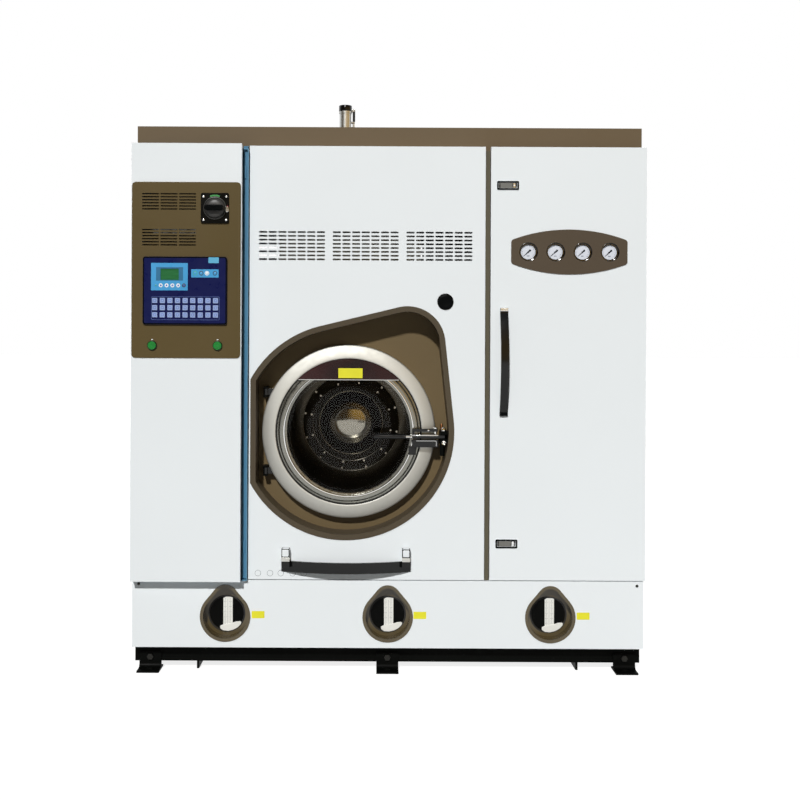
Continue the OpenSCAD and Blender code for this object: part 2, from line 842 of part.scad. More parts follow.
module port_gasket() color(black)
    turned(drum_x, drum_z)
        polygon([
            [port_r + 3, floor_y + recess_wall], [port_r + 3, floor_y - ring_gap + 2 * fit_gap],
            [port_r + 6, floor_y - ring_gap + fit_gap], [port_r + 14, floor_y - ring_gap + fit_gap],
            [port_r + 16, floor_y - ring_gap + 2 * fit_gap], [port_r + 16, floor_y],
            [port_r + 5, floor_y], [port_r + 5, floor_y + recess_wall]
        ]);

module bearing_housing() color([0.25, 0.30, 0.36]) {
    seat = 30;
    difference() {
        union() {
            rod(drum_x, drum_z, bearing_y, bearing_len, bearing_r);
            rod(drum_x, drum_z, bearing_y, 16, 2 * bearing_r);
            for (a = [0:60:300])
                translate([drum_x, bearing_y, drum_z]) rotate([0, a, 0])
                    box([-5, 0, 0], [5, bearing_len * 0.7, 1.9 * bearing_r]);
            box([drum_x - 2 * bearing_r, bearing_y, deck_top],
                [drum_x + 2 * bearing_r, bearing_y + 16, drum_z]);
            box([drum_x - 2 * bearing_r, bearing_y, deck_top],
                [drum_x + 2 * bearing_r, bearing_back - 20, deck_top + 12]);
            box([drum_x - 8, bearing_y, deck_top], [drum_x + 8, bearing_back - 20, drum_z]);
        }
        rod(drum_x, drum_z, bearing_y - cut, bearing_len + 2 * cut, shaft_r + run_gap);
        rod(drum_x, drum_z, bearing_y + seat, bearing_len - 2 * seat, shaft_r + 12);
    }
}

module drum_shaft() color(chrome)
    rod(drum_x, drum_z, drum_back + 26, pulley_y + pulley_w + 12 - drum_back - 26, shaft_r);

// Front ring of the drum, with its mouth's edge turned back
module basket_mouth() color(chrome)
    turned(drum_x, drum_z)
        polygon([
            [mouth_r, drum_y + mouth_turn], [mouth_r, drum_y + drum_wall],
            [mouth_r + drum_wall, drum_y], [drum_r, drum_y], [drum_r, drum_y + drum_wall],
            [mouth_r + 2 * drum_wall, drum_y + drum_wall], [mouth_r + drum_wall, drum_y + 2 * drum_wall],
            [mouth_r + drum_wall, drum_y + mouth_turn]
        ]);

// Perforated drum: wall, back plate, hub and lifters
module basket() color(chrome) {
    hub_r = 150;
    difference() {
        union() {
            rod(drum_x, drum_z, drum_y + drum_wall, drum_len - drum_wall, drum_r);
            turned(drum_x, drum_z)
                polygon([[0, drum_back - cut], [hub_r, drum_back - cut], [hub_r, drum_back + 12],
                         [60, drum_back + 30], [0, drum_back + 30]]);
        }
        rod(drum_x, drum_z, drum_y, drum_len - 5, drum_r - drum_wall);
        rod(drum_x, drum_z, drum_back + 26, 10, shaft_r + run_gap);
        for (i = [0:perf_around - 1], j = [0:perf_rows - 1])
            translate([drum_x, drum_y + (j + 1) * drum_len / (perf_rows + 1), drum_z])
                rotate([0, (i + 0.5) * 360 / perf_around, 0])
                    translate([0, 0, drum_r - 3 * drum_wall])
                        cylinder(h = 5 * drum_wall, r = perf_r, $fn = 16);
    }
    // Stepped hub plates and the polished dome in the middle of the back
    turned(drum_x, drum_z)
        polygon([[0, drum_back], [190, drum_back], [190, drum_back - 9], [150, drum_back - 9],
                 [150, drum_back - 15], [124, drum_back - 15], [110, drum_back - 28],
                 [80, drum_back - 38], [40, drum_back - 44], [0, drum_back - 46]]);
    for (i = [0:lifter_count - 1])
        translate([drum_x, 0, drum_z]) rotate([0, 60 + i * 360 / lifter_count, 0])
            translate([0, drum_y + drum_wall, 0]) rotate([-90, 0, 0])
                linear_extrude(drum_len - drum_wall - 3) lifter_2d();
}

// Section of one lifter, standing in from the drum's wall
module lifter_2d() {
    root_r = drum_r - drum_wall + 1;
    half = 45;
    polygon([[-half, -sqrt(root_r * root_r - half * half)], [-14, lifter_h - root_r],
             [14, lifter_h - root_r], [half, -sqrt(root_r * root_r - half * half)]]);
    translate([0, lifter_h - root_r]) circle(14, $fn = 32);
}

// Grooved rim of a pulley as (radius, depth) points, from the front face to the back face
function pulley_rim(r) = concat(
    [[r, pulley_y]],
    [for (i = [0:2], p = groove_points(r, pulley_y + (i + 1) * groove_pitch)) p],
    [[r, pulley_y + pulley_w]]
);
function groove_points(r, y) = [
    [r, y - belt_w / 2 - 2], [r - groove_d, y - belt_w / 2 - fit_gap],
    [r - groove_d, y + belt_w / 2 + fit_gap], [r, y + belt_w / 2 + 2]
];

module drum_pulley() color([0.35, 0.37, 0.38]) {
    web = 14;
    difference() {
        turned(drum_x, drum_z)
            polygon(concat(
                pulley_rim(pulley_r),
                [[pulley_r - groove_d - 12, pulley_y + pulley_w],
                 [pulley_r - groove_d - 12, pulley_y + (pulley_w + web) / 2],
                 [shaft_r + 28, pulley_y + (pulley_w + web) / 2],
                 [shaft_r + 24, pulley_y + pulley_w], [shaft_r + run_gap, pulley_y + pulley_w],
                 [shaft_r + run_gap, pulley_y], [shaft_r + 24, pulley_y],
                 [shaft_r + 28, pulley_y + (pulley_w - web) / 2],
                 [pulley_r - groove_d - 12, pulley_y + (pulley_w - web) / 2],
                 [pulley_r - groove_d - 12, pulley_y]]
            ));
        for (i = [0:5])
            rod(drum_x + 138 * cos(i * 60), drum_z + 138 * sin(i * 60), pulley_y, pulley_w, 48);
    }
}

module motor_pulley() color([0.35, 0.37, 0.38]) {
    turned(motor_x, motor_axis_z)
        polygon(concat(pulley_rim(motor_pulley_r), [[0, pulley_y + pulley_w], [0, pulley_y]]));
    rod(motor_x, motor_axis_z, pulley_y - 60, 80, motor_shaft_r);
}

// One belt round both pulleys, lying in the given groove
module drive_belt(i) {
    r1 = pulley_r - groove_d + fit_gap;
    r2 = motor_pulley_r - groove_d + fit_gap;
    translate([drum_x, 0, drum_z])
        difference() {
            plate(pulley_y + (i + 1) * groove_pitch - belt_w / 2, belt_w)
                rotate(belt_angle) tangent_pair(r1 + belt_t, r2 + belt_t, belt_span);
            plate(pulley_y + (i + 1) * groove_pitch - belt_w / 2 - cut, belt_w + 2 * cut)
                rotate(belt_angle) tangent_pair(r1, r2, belt_span);
        }
}

module drive_belts() color(black)
    for (i = [0:belt_count - 1]) drive_belt(i);

module drive_motor() color([0.25, 0.30, 0.36]) {
    front = pulley_y - 20 - motor_len;
    difference() {
        union() {
            rod(motor_x, motor_axis_z, front, motor_len, motor_r - 8);
            for (k = [0:6])
                rod(motor_x, motor_axis_z, front + 14 + k * motor_len / 8, motor_len / 16, motor_r);
            rod(motor_x, motor_axis_z, front + motor_len, 8, 50);
            for (s = [-1, 1])
                box([motor_x + s * motor_r * 0.7 - 22, front + 20, deck_top],
                    [motor_x + s * motor_r * 0.7 + 22, front + motor_len - 20, motor_axis_z - motor_r * 0.55]);
            box([motor_x - motor_r, front + 10, deck_top], [motor_x + motor_r, front + motor_len - 10, deck_top + 10]);
        }
        rod(motor_x, motor_axis_z, pulley_y - 64, 80, motor_shaft_r + run_gap);
    }
}

// ---- Air system ----

module air_duct() color([0.70, 0.72, 0.74]) {
    difference() {
        union() {
            box([drum_x - 258, duct_y0, duct_z0 + 90], [drum_x + 258, duct_y1, duct_z1]);
            box([drum_x - 170, duct_y0 + 50, duct_z0], [drum_x + 170, duct_y1 - 40, duct_z0 + 90]);
            for (z = [duct_z0 + 90, duct_z0 + 220, duct_z1 - 14])
                box([drum_x - 278, duct_y0 - duct_flange, z], [drum_x + 278, duct_y1 + duct_flange, z + 14]);
            post(damper_x, damper_y, duct_z1, 30, damper_r + 18);
        }
        rod(drum_x, drum_z, housing_y, housing_len, housing_r + fit_gap);
        // Air path, open onto the drum housing
        box([drum_x - 258 + duct_wall, duct_y0 + duct_wall, duct_z0 + 90 + duct_wall],
            [drum_x + 258 - duct_wall, duct_y1 - duct_wall, duct_z1 - duct_wall]);
        box([drum_x - 170 + duct_wall, duct_y0 + 50 + duct_wall, duct_z0 - cut],
            [drum_x + 170 - duct_wall, duct_y1 - 40 - duct_wall, duct_z0 + 90 + 2 * duct_wall]);
    }
}

module blower() color([0.25, 0.30, 0.36]) {
    difference() {
        translate([drum_x, 0, fan_z]) plate(blower_y, blower_w) volute_2d(0);
        translate([drum_x, 0, fan_z]) plate(blower_y + duct_wall, blower_w - 2 * duct_wall) volute_2d(duct_wall);
        rod(drum_x, fan_z, blower_y - cut, duct_wall + 2 * cut, 0.55 * blower_r);
    }
    rod(drum_x, fan_z, blower_y + blower_w - cut, 16 + cut, 110);
    rod(drum_x, fan_z, blower_y + blower_w + 16 - cut, blower_motor_len + cut, blower_motor_r);
    rod(drum_x, fan_z, blower_y + blower_w + 16 + blower_motor_len - cut, 26 + cut, blower_motor_r - 12);
}

// Outline of the blower's case with its outlet, drawn in by the given wall
module volute_2d(inset) {
    circle(blower_r - inset, $fn = round_fn);
    translate([inset - blower_r, 0]) square([150 - 2 * inset, 190 - inset]);
}

module damper_cylinder() color(chrome) {
    foot_z = duct_z1 + 30;
    top_z = cover_z1 + damper_rise;
    side = damper_x + damper_r + 9;
    tube_z = cover_z1 + 40;
    post(damper_x, damper_y, foot_z, top_z - 30 - foot_z, damper_r);
    post(damper_x, damper_y, top_z - 30, 26, damper_r + 2);
    post(damper_x, damper_y, top_z - 4, 4, damper_r - 6);
    for (z = [tube_z, top_z - 17]) {
        translate([damper_x, damper_y, z]) rotate([0, 90, 0]) cylinder(h = damper_r + 9, r = 5);
        translate([side, damper_y, z]) sphere(6, $fn = 24);
    }
    post(side, damper_y, tube_z, top_z - 17 - tube_z, 4);
}

// ---- Service bay ----

module still() color(steel) {
    flange = 14;
    difference() {
        union() {
            post(still_x, still_y, still_z, still_h, still_r);
            post(still_x, still_y, still_z - flange, flange + cut, still_r + flange);
            post(still_x, still_y, still_z + still_h - cut, 16 + cut, still_r + flange);
            translate([still_x, still_y, still_z + still_h + 16])
                cylinder(h = still_dome, r1 = still_r - 5, r2 = vapour_r + 10, $fn = round_fn);
            for (a = [45:90:315])
                post(still_x + 140 * cos(a), still_y + 140 * sin(a), deck_top, still_z - deck_top, 22);
            // Clean-out door with its window, facing the front
            rod(still_x, still_z + 190, still_y - still_r - 30, 60, 120);
            rod(still_x, still_z + 190, still_y - still_r - 44, 20, 90);
        }
        // Inside of the vessel, open to the condenser at its top
        post(still_x, still_y, still_z + vessel_wall, still_h - vessel_wall, still_r - vessel_wall);
        post(still_x, still_y, still_z + still_h - cut, 16 + 2 * cut, still_r - 3 * vessel_wall);
        translate([still_x, still_y, still_z + still_h + 16])
            cylinder(h = still_dome + cut, r1 = still_r - 3 * vessel_wall, r2 = vapour_r, $fn = round_fn);
    }
}

module condenser() color(steel) {
    flange = 14;
    difference() {
        union() {
            post(still_x, still_y, still_top, flange + cut, condenser_r + 15);
            post(still_x, still_y, still_top, flange + condenser_h, condenser_r);
            post(still_x, still_y, still_top + flange + condenser_h - cut, flange + cut, condenser_r + 15);
            for (p = [stubs[0], stubs[1]]) rod(p[0], p[1], still_y, 110, 24);
        }
        post(still_x, still_y, still_top - cut, vessel_wall + 2 * cut, vapour_r);
        post(still_x, still_y, still_top + vessel_wall, condenser_h, condenser_r - vessel_wall);
    }
}

module solvent_filter() color(steel) {
    leg = 64;
    difference() {
        union() {
            for (a = [30:120:270])
                post(filter_x + 105 * cos(a), filter_y + 105 * sin(a), deck_top, leg, 16);
            post(filter_x, filter_y, deck_top + leg - 4, filter_top - deck_top - leg + 4, filter_r);
            post(filter_x, filter_y, filter_top - 60, 26, filter_r + 18);
            translate([filter_x, filter_y, filter_top - cut])
                cylinder(h = 40 + cut, r1 = filter_r, r2 = filter_r - 50, $fn = round_fn);
            for (a = [0:60:300])
                post(filter_x + (filter_r + 8) * cos(a), filter_y + (filter_r + 8) * sin(a), filter_top - 74, 60, 9);
        }
        // Inside of the vessel, open to the solvent line
        post(filter_x, filter_y, deck_top + leg + vessel_wall, filter_top - deck_top - leg - 2 * vessel_wall, filter_r - vessel_wall);
        translate([filter_x, filter_y, solvent_line_z]) rotate([0, 90, 0])
            cylinder(h = filter_r + cut, r = solvent_pipe_r - 3);
    }
}

module solvent_pump() color([0.25, 0.30, 0.36]) {
    box([pump_x - 80, pump_y - 60, deck_top], [pump_x + 80, pump_y + 170, deck_top + 10]);
    for (y = [pump_y - 40, pump_y + 120])
        box([pump_x - 50, y, deck_top + 8], [pump_x + 50, y + 24, pump_z]);
    rod(pump_x, pump_z, pump_y - 20, 200, 66);
    rod(pump_x, pump_z, pump_y - 70, 52, 84);
    post(pump_x, pump_outlet_y, pump_z + 70, 50, 24);
}

// Straight pipe between two points that lie along one axis
module pipe(from, to, r) {
    d = to - from;
    turn = d[2] != 0 ? [d[2] > 0 ? 0 : 180, 0, 0] : d[1] != 0 ? [d[1] > 0 ? -90 : 90, 0, 0]
        : [0, d[0] > 0 ? 90 : -90, 0];
    translate(from) rotate(turn) cylinder(h = norm(d), r = r, $fn = 32);
}

// Pipe through a list of corners, with a round elbow at each
module run(points, r) {
    for (i = [0:len(points) - 2]) pipe(points[i], points[i + 1], r);
    for (i = [1:1:len(points) - 2]) translate(points[i]) sphere(r, $fn = 24);
}

// A pipe from inside the machine to the rear, with a true bore in its outer end
module stub(p)
    difference() {
        rod(p[0], p[1], p[2], stub_end - p[2], pipe_r);
        rod(p[0], p[1], stub_end - stub_len, stub_len + cut, stub_bore_r);
    }

module pipework() color([0.60, 0.45, 0.30]) {
    for (p = stubs) stub(p);
    // Solvent line from the pump to the filter
    run([[pump_x, pump_outlet_y, pump_z + 120 + fit_gap], [pump_x, pump_outlet_y, solvent_line_z],
         [pump_x, filter_y, solvent_line_z], [filter_x + filter_r + fit_gap, filter_y, solvent_line_z]],
        solvent_pipe_r);
}

module gauge_bracket() color(steel) {
    back = gauge_y + gauge_depth;
    x0 = right_x0 - 2;
    x1 = side_x - post_w + 20;
    difference() {
        union() {
            box([x0, back, gauge_z - 40], [x1, back + 3, gauge_z + 40]);
            box([x0, back, gauge_z - 40], [x0 + 3, frame_y + post_w, gauge_z + 40]);
            box([x1 - 3, back, gauge_z - 40], [x1, frame_y, gauge_z + 40]);
        }
        for (i = [0:3])
            rod(gauge_x + (i - 1.5) * gauge_pitch, gauge_z, back - cut, 6, 8);
    }
}

module pressure_gauge(x) {
    rod(x, gauge_z, gauge_y + 2, gauge_depth - 2, gauge_r - 2);
    difference() {
        rod(x, gauge_z, gauge_y, 8, gauge_r);
        rod(x, gauge_z, gauge_y - cut, 4, gauge_r - 3);
    }
    rod(x, gauge_z, gauge_y + gauge_depth, 24, 7.5);
}

module pressure_gauges() color(chrome)
    for (i = [0:3]) pressure_gauge(gauge_x + (i - 1.5) * gauge_pitch);

// ---- Control cabinet ----

module electrical_box() color([0.30, 0.48, 0.60]) {
    difference() {
        box([left_x0, box_y, deck_top], [box_x1, box_back, cover_z0]);
        box([left_x0 + 3, box_y - cut, deck_top + 3], [box_x1 - 3, box_back - 3, cover_z0 - 3]);
    }
}

module control_gear() color([0.85, 0.83, 0.76]) {
    x0 = left_x0 + 40;
    x1 = box_x1 - 40;
    back = box_back - 3;
    box([x0, back - 12, deck_top + 120], [x1, back - 9, cover_z0 - 120]);
    for (x = [x0 + 10, x1 - 30], z = [deck_top + 140, cover_z0 - 160])
        box([x, back - 10, z], [x + 20, back, z + 20]);
    for (row = [0:3]) {
        z = deck_top + 220 + row * 280;
        box([x0 + 12, back - 20, z + 30], [x1 - 12, back - 11, z + 65]);
        for (k = [0:4 - row % 2])
            box([x0 + 20 + k * 54, back - 82 + (row % 2) * 30, z],
                [x0 + 66 + k * 54, back - 18, z + 90]);
        box([x0 + 6, back - 60, z + 140], [x1 - 6, back - 11, z + 190]);
    }
}

// Fixed knuckle with its pin and its leaf on the cabinet's edge
module fixed_hinge(p, seat_y, z, s) {
    post(p[0], p[1], z, knuckle_h, knuckle_r);
    post(p[0], p[1], z, 2 * knuckle_h, hinge_pin_r);
    box([min(p[0], p[0] + s * 3), p[1], z], [max(p[0], p[0] + s * 3), seat_y, z + knuckle_h]);
}

module cabinet_hinges() color(steel)
    for (z = hinge_zs) {
        fixed_hinge(left_axis, box_y, z, -1);
        fixed_hinge(right_axis, right_door_back + door_gap, z, 1);
    }

// Room in a door for the fixed knuckle and its leaf
module hinge_notch(p, z)
    box([p[0] - 12, p[1] - knuckle_r - 2, z - 1], [p[0] + 12, p[1] + 20, z + 2 * knuckle_h + 1]);

// The door's own knuckle, on the fixed pin, with its leaf on the folded edge
module door_knuckle(p, z, s) {
    difference() {
        union() {
            post(p[0], p[1], z + knuckle_h + fit_gap, knuckle_h - fit_gap, knuckle_r);
            box([min(p[0], p[0] + s * (hinge_inset - sheet_t)), p[1] - knuckle_r - 8,
                 z + knuckle_h + fit_gap],
                [max(p[0], p[0] + s * (hinge_inset - sheet_t)), p[1], z + 2 * knuckle_h]);
        }
        post(p[0], p[1], z, 2 * knuckle_h + cut, hinge_pin_r + run_gap);
    }
}

module electrical_door() color(steel_white) {
    difference() {
        pan(left_x0, left_x1, panel_z0, panel_z1, left_door_y, left_door_back);
        for (z = hinge_zs) hinge_notch(left_axis, z);
        translate([controller_x, 0, controller_z])
            plate(left_door_y - cut, sheet_t + 2 * cut) square([controller_w - 30, controller_h - 30], center = true);
        rod(switch_x, switch_z, left_door_y - cut, sheet_t + 2 * cut, 34);
        for (s = [-1, 1])
            rod(button_x + s * button_dx, button_z, left_door_y - cut, sheet_t + 2 * cut, button_ring_r - 2);
        translate([air_slots_x, 0, air_slots_z])
            plate(left_door_y - cut, sheet_t + 2 * cut)
                square([3 * air_pitch_x - 6, 3 * air_bank_dz], center = true);
    }
    for (z = hinge_zs) door_knuckle(left_axis, z, -1);
}

module control_fascia() color(brown) {
    difference() {
        translate([fascia_x, 0, fascia_z]) plate(fascia_y, fascia_t) round_rect(fascia_w, fascia_h, 14);
        translate([controller_x, 0, controller_z])
            plate(fascia_y - cut, fascia_t + 2 * cut) square([controller_w - 30, controller_h - 30], center = true);
        rod(switch_x, switch_z, fascia_y - cut, fascia_t + 2 * cut, 34);
        for (s = [-1, 1])
            rod(button_x + s * button_dx, button_z, fascia_y - cut, fascia_t + 2 * cut, button_ring_r - 2);
        // Two banks of air slots, with a plain band between them
        for (bank = [-1, 1], row = [0:5], col = [-1:1])
            translate([air_slots_x + col * air_pitch_x, 0,
                       air_slots_z + bank * air_bank_dz + (row - 2.5) * air_pitch_z])
                plate(fascia_y - cut, fascia_t + 2 * cut) slot(air_slot_w, air_slot_h);
    }
    for (s = [-1, 1]) button_ring(button_x + s * button_dx);
}

// Ring and body round a push button, seated in the fascia
module button_ring(x) {
    difference() {
        union() {
            rod(x, button_z, fascia_y - 3, 3 + cut, button_ring_r);
            rod(x, button_z, fascia_y, 40, button_ring_r - 2 - fit_gap);
        }
        rod(x, button_z, fascia_y - 3 - cut, 36, button_r + run_gap);
    }
}

module push_button(x) color([0.10, 0.55, 0.25])
    rod(x, button_z, fascia_y - 3 - button_travel - 1, 20, button_r);

module push_button_left() push_button(button_x - button_dx);
module push_button_right() push_button(button_x + button_dx);

// Controller: raised bezel with a display window, and the box behind it
module controller() color([0.04, 0.10, 0.32]) {
    difference() {
        translate([controller_x, 0, controller_z]) {
            plate(fascia_y - controller_t, controller_t) round_rect(controller_w, controller_h, 8);
            plate(fascia_y - cut, 50) square([controller_w - 32, controller_h - 32], center = true);
        }
        translate([controller_x - 52, 0, controller_z + 56])
            plate(fascia_y - controller_t - cut, 3 + cut) square([64, 40], center = true);
    }
}

module switch_plate() color(black) {
    difference() {
        translate([switch_x, 0, switch_z]) {
            plate(fascia_y - 5, 5) round_rect(switch_plate_w, switch_plate_h, 6);
            plate(fascia_y - cut, 62) square([46, 46], center = true);
        }
        rod(switch_x, switch_z, fascia_y - 5 - cut, 40, 8 + run_gap);
    }
}

// Round knob with a grip bar across it, on a short spindle
module switch_knob() color(black) {
    front = fascia_y - 5 - fit_gap;
    rod(switch_x, switch_z, front - 12, 12, switch_r);
    box([switch_x - switch_r + 3, front - 32, switch_z - 9], [switch_x + switch_r - 3, front - 10, switch_z + 9]);
    rod(switch_x, switch_z, front - 1, 30, 8);
}

// ---- Right door ----

module service_door() color(steel_white) {
    difference() {
        pan(right_x0, right_x1, panel_z0, panel_z1, panel_y, right_door_back);
        for (z = hinge_zs) hinge_notch(right_axis, z);
        for (i = [0:3])
            rod(gauge_x + (i - 1.5) * gauge_pitch, gauge_z, panel_y - cut, sheet_t + 2 * cut, gauge_r + gauge_gap);
        for (z = [paddle_low_z, paddle_top_z])
            translate([paddle_x, 0, z]) plate(panel_y - cut, sheet_t + 2 * cut)
                square([paddle_w - 8, paddle_h - 8], center = true);
    }
    for (z = hinge_zs) door_knuckle(right_axis, z, 1);
    for (z = [paddle_low_z, paddle_top_z]) latch_tray(z);
}

// Shallow tray of a flush latch, set into the door
module latch_tray(z) {
    translate([paddle_x, 0, z])
        difference() {
            union() {
                plate(panel_y - 2, 2) round_rect(paddle_w, paddle_h, 4);
                plate(panel_y - 1, 18) square([paddle_w - 8.6, paddle_h - 8.6], center = true);
            }
            plate(panel_y - 2 - cut, 16) square([paddle_w - 12, paddle_h - 12], center = true);
        }
}

// Paddle of a flush latch, hinged at its right end
module latch_paddle(z) color([0.35, 0.36, 0.37]) {
    box([paddle_x - paddle_w / 2 + 7, panel_y - 1.5, z - paddle_h / 2 + 6.5],
        [paddle_x + 14, panel_y + 2, z + paddle_h / 2 - 6.5]);
    post(paddle_x + 14, panel_y + 2, z - paddle_h / 2 + 6.5, paddle_h - 13, 3.2);
}

module latch_paddle_top() latch_paddle(paddle_top_z);
module latch_paddle_bottom() latch_paddle(paddle_low_z);

// Lens-shaped outline with straight ends, whose corners are rounded into both
module lens_2d(w, h, end, r) {
    sag = (h - end) / 2;
    arc_r = (w * w / 4 + sag * sag) / (2 * sag);
    corner_x = w / 2 - r;
    corner_y = sqrt((arc_r - r) * (arc_r - r) - corner_x * corner_x) - arc_r + h / 2;
    intersection() {
        square([2 * corner_x * arc_r / (arc_r - r), h], center = true);
        translate([0, h / 2 - arc_r]) circle(arc_r, $fn = 180);
        translate([0, arc_r - h / 2]) circle(arc_r, $fn = 180);
    }
    square([w, 2 * corner_y], center = true);
    for (sx = [-1, 1], sy = [-1, 1]) translate([sx * corner_x, sy * corner_y]) circle(r, $fn = 32);
}

module gauge_plate() color(brown) {
    difference() {
        translate([gauge_x, 0, gauge_z])
            plate(panel_y - 3, 3) 
                lens_2d(gauge_plate_w, gauge_plate_h, gauge_plate_end, gauge_plate_r);
        for (i = [0:3])
            rod(gauge_x + (i - 1.5) * gauge_pitch, gauge_z, panel_y - 3 - cut, 3 + 2 * cut, gauge_r + gauge_gap);
    }
}

module service_handle() color(black) {
    translate([service_handle_x - service_handle_w / 2, panel_y, service_handle_z])
        rotate([0, 90, 0]) mirror([0, 1, 0]) linear_extrude(service_handle_w)
            bow_2d(service_handle_len, handle_rise, handle_t);
    for (s = [-1, 1])
        translate([service_handle_x, panel_y, service_handle_z + s * (service_handle_len / 2 - 14)])
            translate([-service_handle_w / 2, -9, -13]) cube([service_handle_w, 9, 26]);
}

// ---- Loading door ----

module door_ring() color(steel) {
    lug_x0 = latch_x - latch_bar;
    difference() {
        union() {
            turned(drum_x, drum_z) polygon(ring_profile());
            // Hinge arms
            for (s = [-1, 1])
                translate([door_axis_x, door_axis_y, drum_z + s * hinge_dz]) {
                    translate([0, 0, -arm_h / 2]) cylinder(h = arm_h, r = door_knuckle_r);
                    box([0, 1 - hinge_dy, -arm_h / 2], [ring_r * 0.13, 14, arm_h / 2]);
                }
            // Body that carries the latch's pivot
            box([lug_x0, ring_y - latch_dy - 10, latch_z - latch_t / 2 - 27],
                [latch_x, ring_y + ring_fall + 4, latch_z - latch_t / 2 - fit_gap]);
            post(latch_x, latch_y, latch_z - latch_t / 2 - 27, 27 - fit_gap, 10);
            post(latch_x, latch_y, latch_z - latch_t / 2 - 27, latch_t + 31, 5);
        }
        for (s = [-1, 1])
            post(door_axis_x, door_axis_y, drum_z + s * hinge_dz - arm_h, 2 * arm_h, door_pin_r + run_gap);
    }
}

// Section of the ring as (radius, depth) points
function ring_profile() =
    let (
        r1 = ring_r - ring_face,
        r2 = r1 - ring_groove,
        r3 = r2 - ring_flange
    )
    [
        [ring_r, ring_back], [ring_r, ring_y + ring_fall + 3], [ring_r - 3, ring_y + ring_fall], [r1, ring_y],
        [r1 - 3, ring_y + 9], [r2 + 3, ring_y + 9], [r2, ring_y + 2], [r3 + 2, ring_y + 2],
        [r3, ring_y + 5], [r3, ring_y + 14], [r3 - 6, ring_y + 14 + fit_gap],
        [r3 - 6, ring_back - 6], [r3 - 2, ring_back]
    ];

// Glass bowl, clamped in the ring and reaching into the drum
module door_glass() color([0.20, 0.20, 0.18, 0.5]) {
    r3 = ring_r - ring_face - ring_groove - ring_flange;
    rim = r3 - 6 - fit_gap;
    front = ring_y + 12;
    end = ring_y + bowl_depth;
    turned(drum_x, drum_z)
        polygon([
            [rim, front], [rim, front + glass_t], [rim - 12, front + 2 * glass_t],
            [bowl_r + 12, end - 20], [bowl_r - 8, end], [0, end], [0, end - glass_t],
            [bowl_r - 12, end - glass_t], [bowl_r + 3, end - 24], [rim - 20, front + glass_t],
            [rim - 14, front]
        ]);
}

module door_hinge_brackets() color(black)
    for (s = [-1, 1])
        translate([door_axis_x, door_axis_y, drum_z + s * hinge_dz]) {
            depth = floor_y - door_axis_y;
            for (t = [-1, 1])
                translate([0, 0, t * (arm_h / 2 + 0.5 + 2.75)])
                    box([-door_knuckle_r, -door_knuckle_r, -2.75], [door_knuckle_r, depth, 2.75]);
            box([-door_knuckle_r, depth - 6, -arm_h / 2 - 6], [door_knuckle_r, depth, arm_h / 2 + 6]);
            post(0, 0, -arm_h / 2 - 6, arm_h + 12, door_pin_r);
        }

module latch_lever() color(chrome) {
    difference() {
        union() {
            box([latch_x - latch_bar, latch_y - latch_t / 2, latch_z - latch_t / 2],
                [latch_x + tongue_len, latch_y + latch_t / 2, latch_z + latch_t / 2]);
            post(latch_x, latch_y, latch_z - latch_t / 2, latch_t, 11);
            translate([latch_x - latch_bar + 1, latch_y, latch_z]) rotate([0, -90, 0]) {
                cylinder(h = latch_rod + 2, r = 5);
                translate([0, 0, latch_rod]) cylinder(h = grip_len, r = grip_r);
            }
        }
        post(latch_x, latch_y, latch_z - latch_t, 2 * latch_t, 5 + run_gap);
    }
}

// Catch block: two cheeks open to the front, and the lock cylinder under them
module latch_catch() color(black) {
    y0 = lock_y - lock_pin_r - 4;
    low = latch_z - latch_t / 2 - cheek_gap;
    high = latch_z + latch_t / 2 + cheek_gap;
    difference() {
        union() {
            box([catch_x0, y0, low - cheek_t], [catch_x1, floor_y, low]);
            box([catch_x0, y0, high], [catch_x1, floor_y, high + cheek_t]);
            box([catch_x0, floor_y - 14, low - cheek_t], [catch_x1, floor_y, high + cheek_t]);
            post(lock_x, lock_y, low - cheek_t - lock_case_h, lock_case_h + cut, 9);
        }
        post(lock_x, lock_y, low - cheek_t - lock_case_h + 4, lock_case_h + cheek_t, lock_pin_r + run_gap);
        post(lock_x, lock_y, high - cut, cheek_t, lock_pin_r + run_gap);
    }
}

module lock_pin() color(chrome) {
    low = latch_z - latch_t / 2 - cheek_gap;
    post(lock_x, lock_y, low - cheek_t - lock_case_h + 5, lock_case_h + cheek_t - 6.5, lock_pin_r);
}

base_frame();
anchor_feet();
foot_bolts();
tank_left();
tank_center();
tank_right();
sight_collars();
sight_glasses();
skirt_panel();
cabinet_frame();
top_cover();
left_side_panel();
right_side_panel();
rear_panel();
center_panel();
recess_shroud();
recess_floor();
panel_plug();
lower_handle();
drum_housing();
port_gasket();
door_hinge_brackets();
latch_catch();
bearing_housing();
drive_motor();
drive_belts();
air_duct();
blower();
damper_cylinder();
still();
solvent_filter();
condenser();
solvent_pump();
pipework();
gauge_bracket();
pressure_gauges();
electrical_box();
control_gear();
cabinet_hinges();
basket();
basket_mouth();
drum_shaft();
drum_pulley();
motor_pulley();
door_ring();
door_glass();
latch_lever();
lock_pin();
electrical_door();
control_fascia();
controller();
switch_plate();
switch_knob();
push_button_left();
push_button_right();
service_door();
gauge_plate();
service_handle();
latch_paddle_top();
latch_paddle_bottom();
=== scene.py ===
# Looks of a dry cleaning machine: camera, soft studio light, materials and surface details.
# Metres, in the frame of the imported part: +X right, the front faces -Y, +Z up.
import json
import math

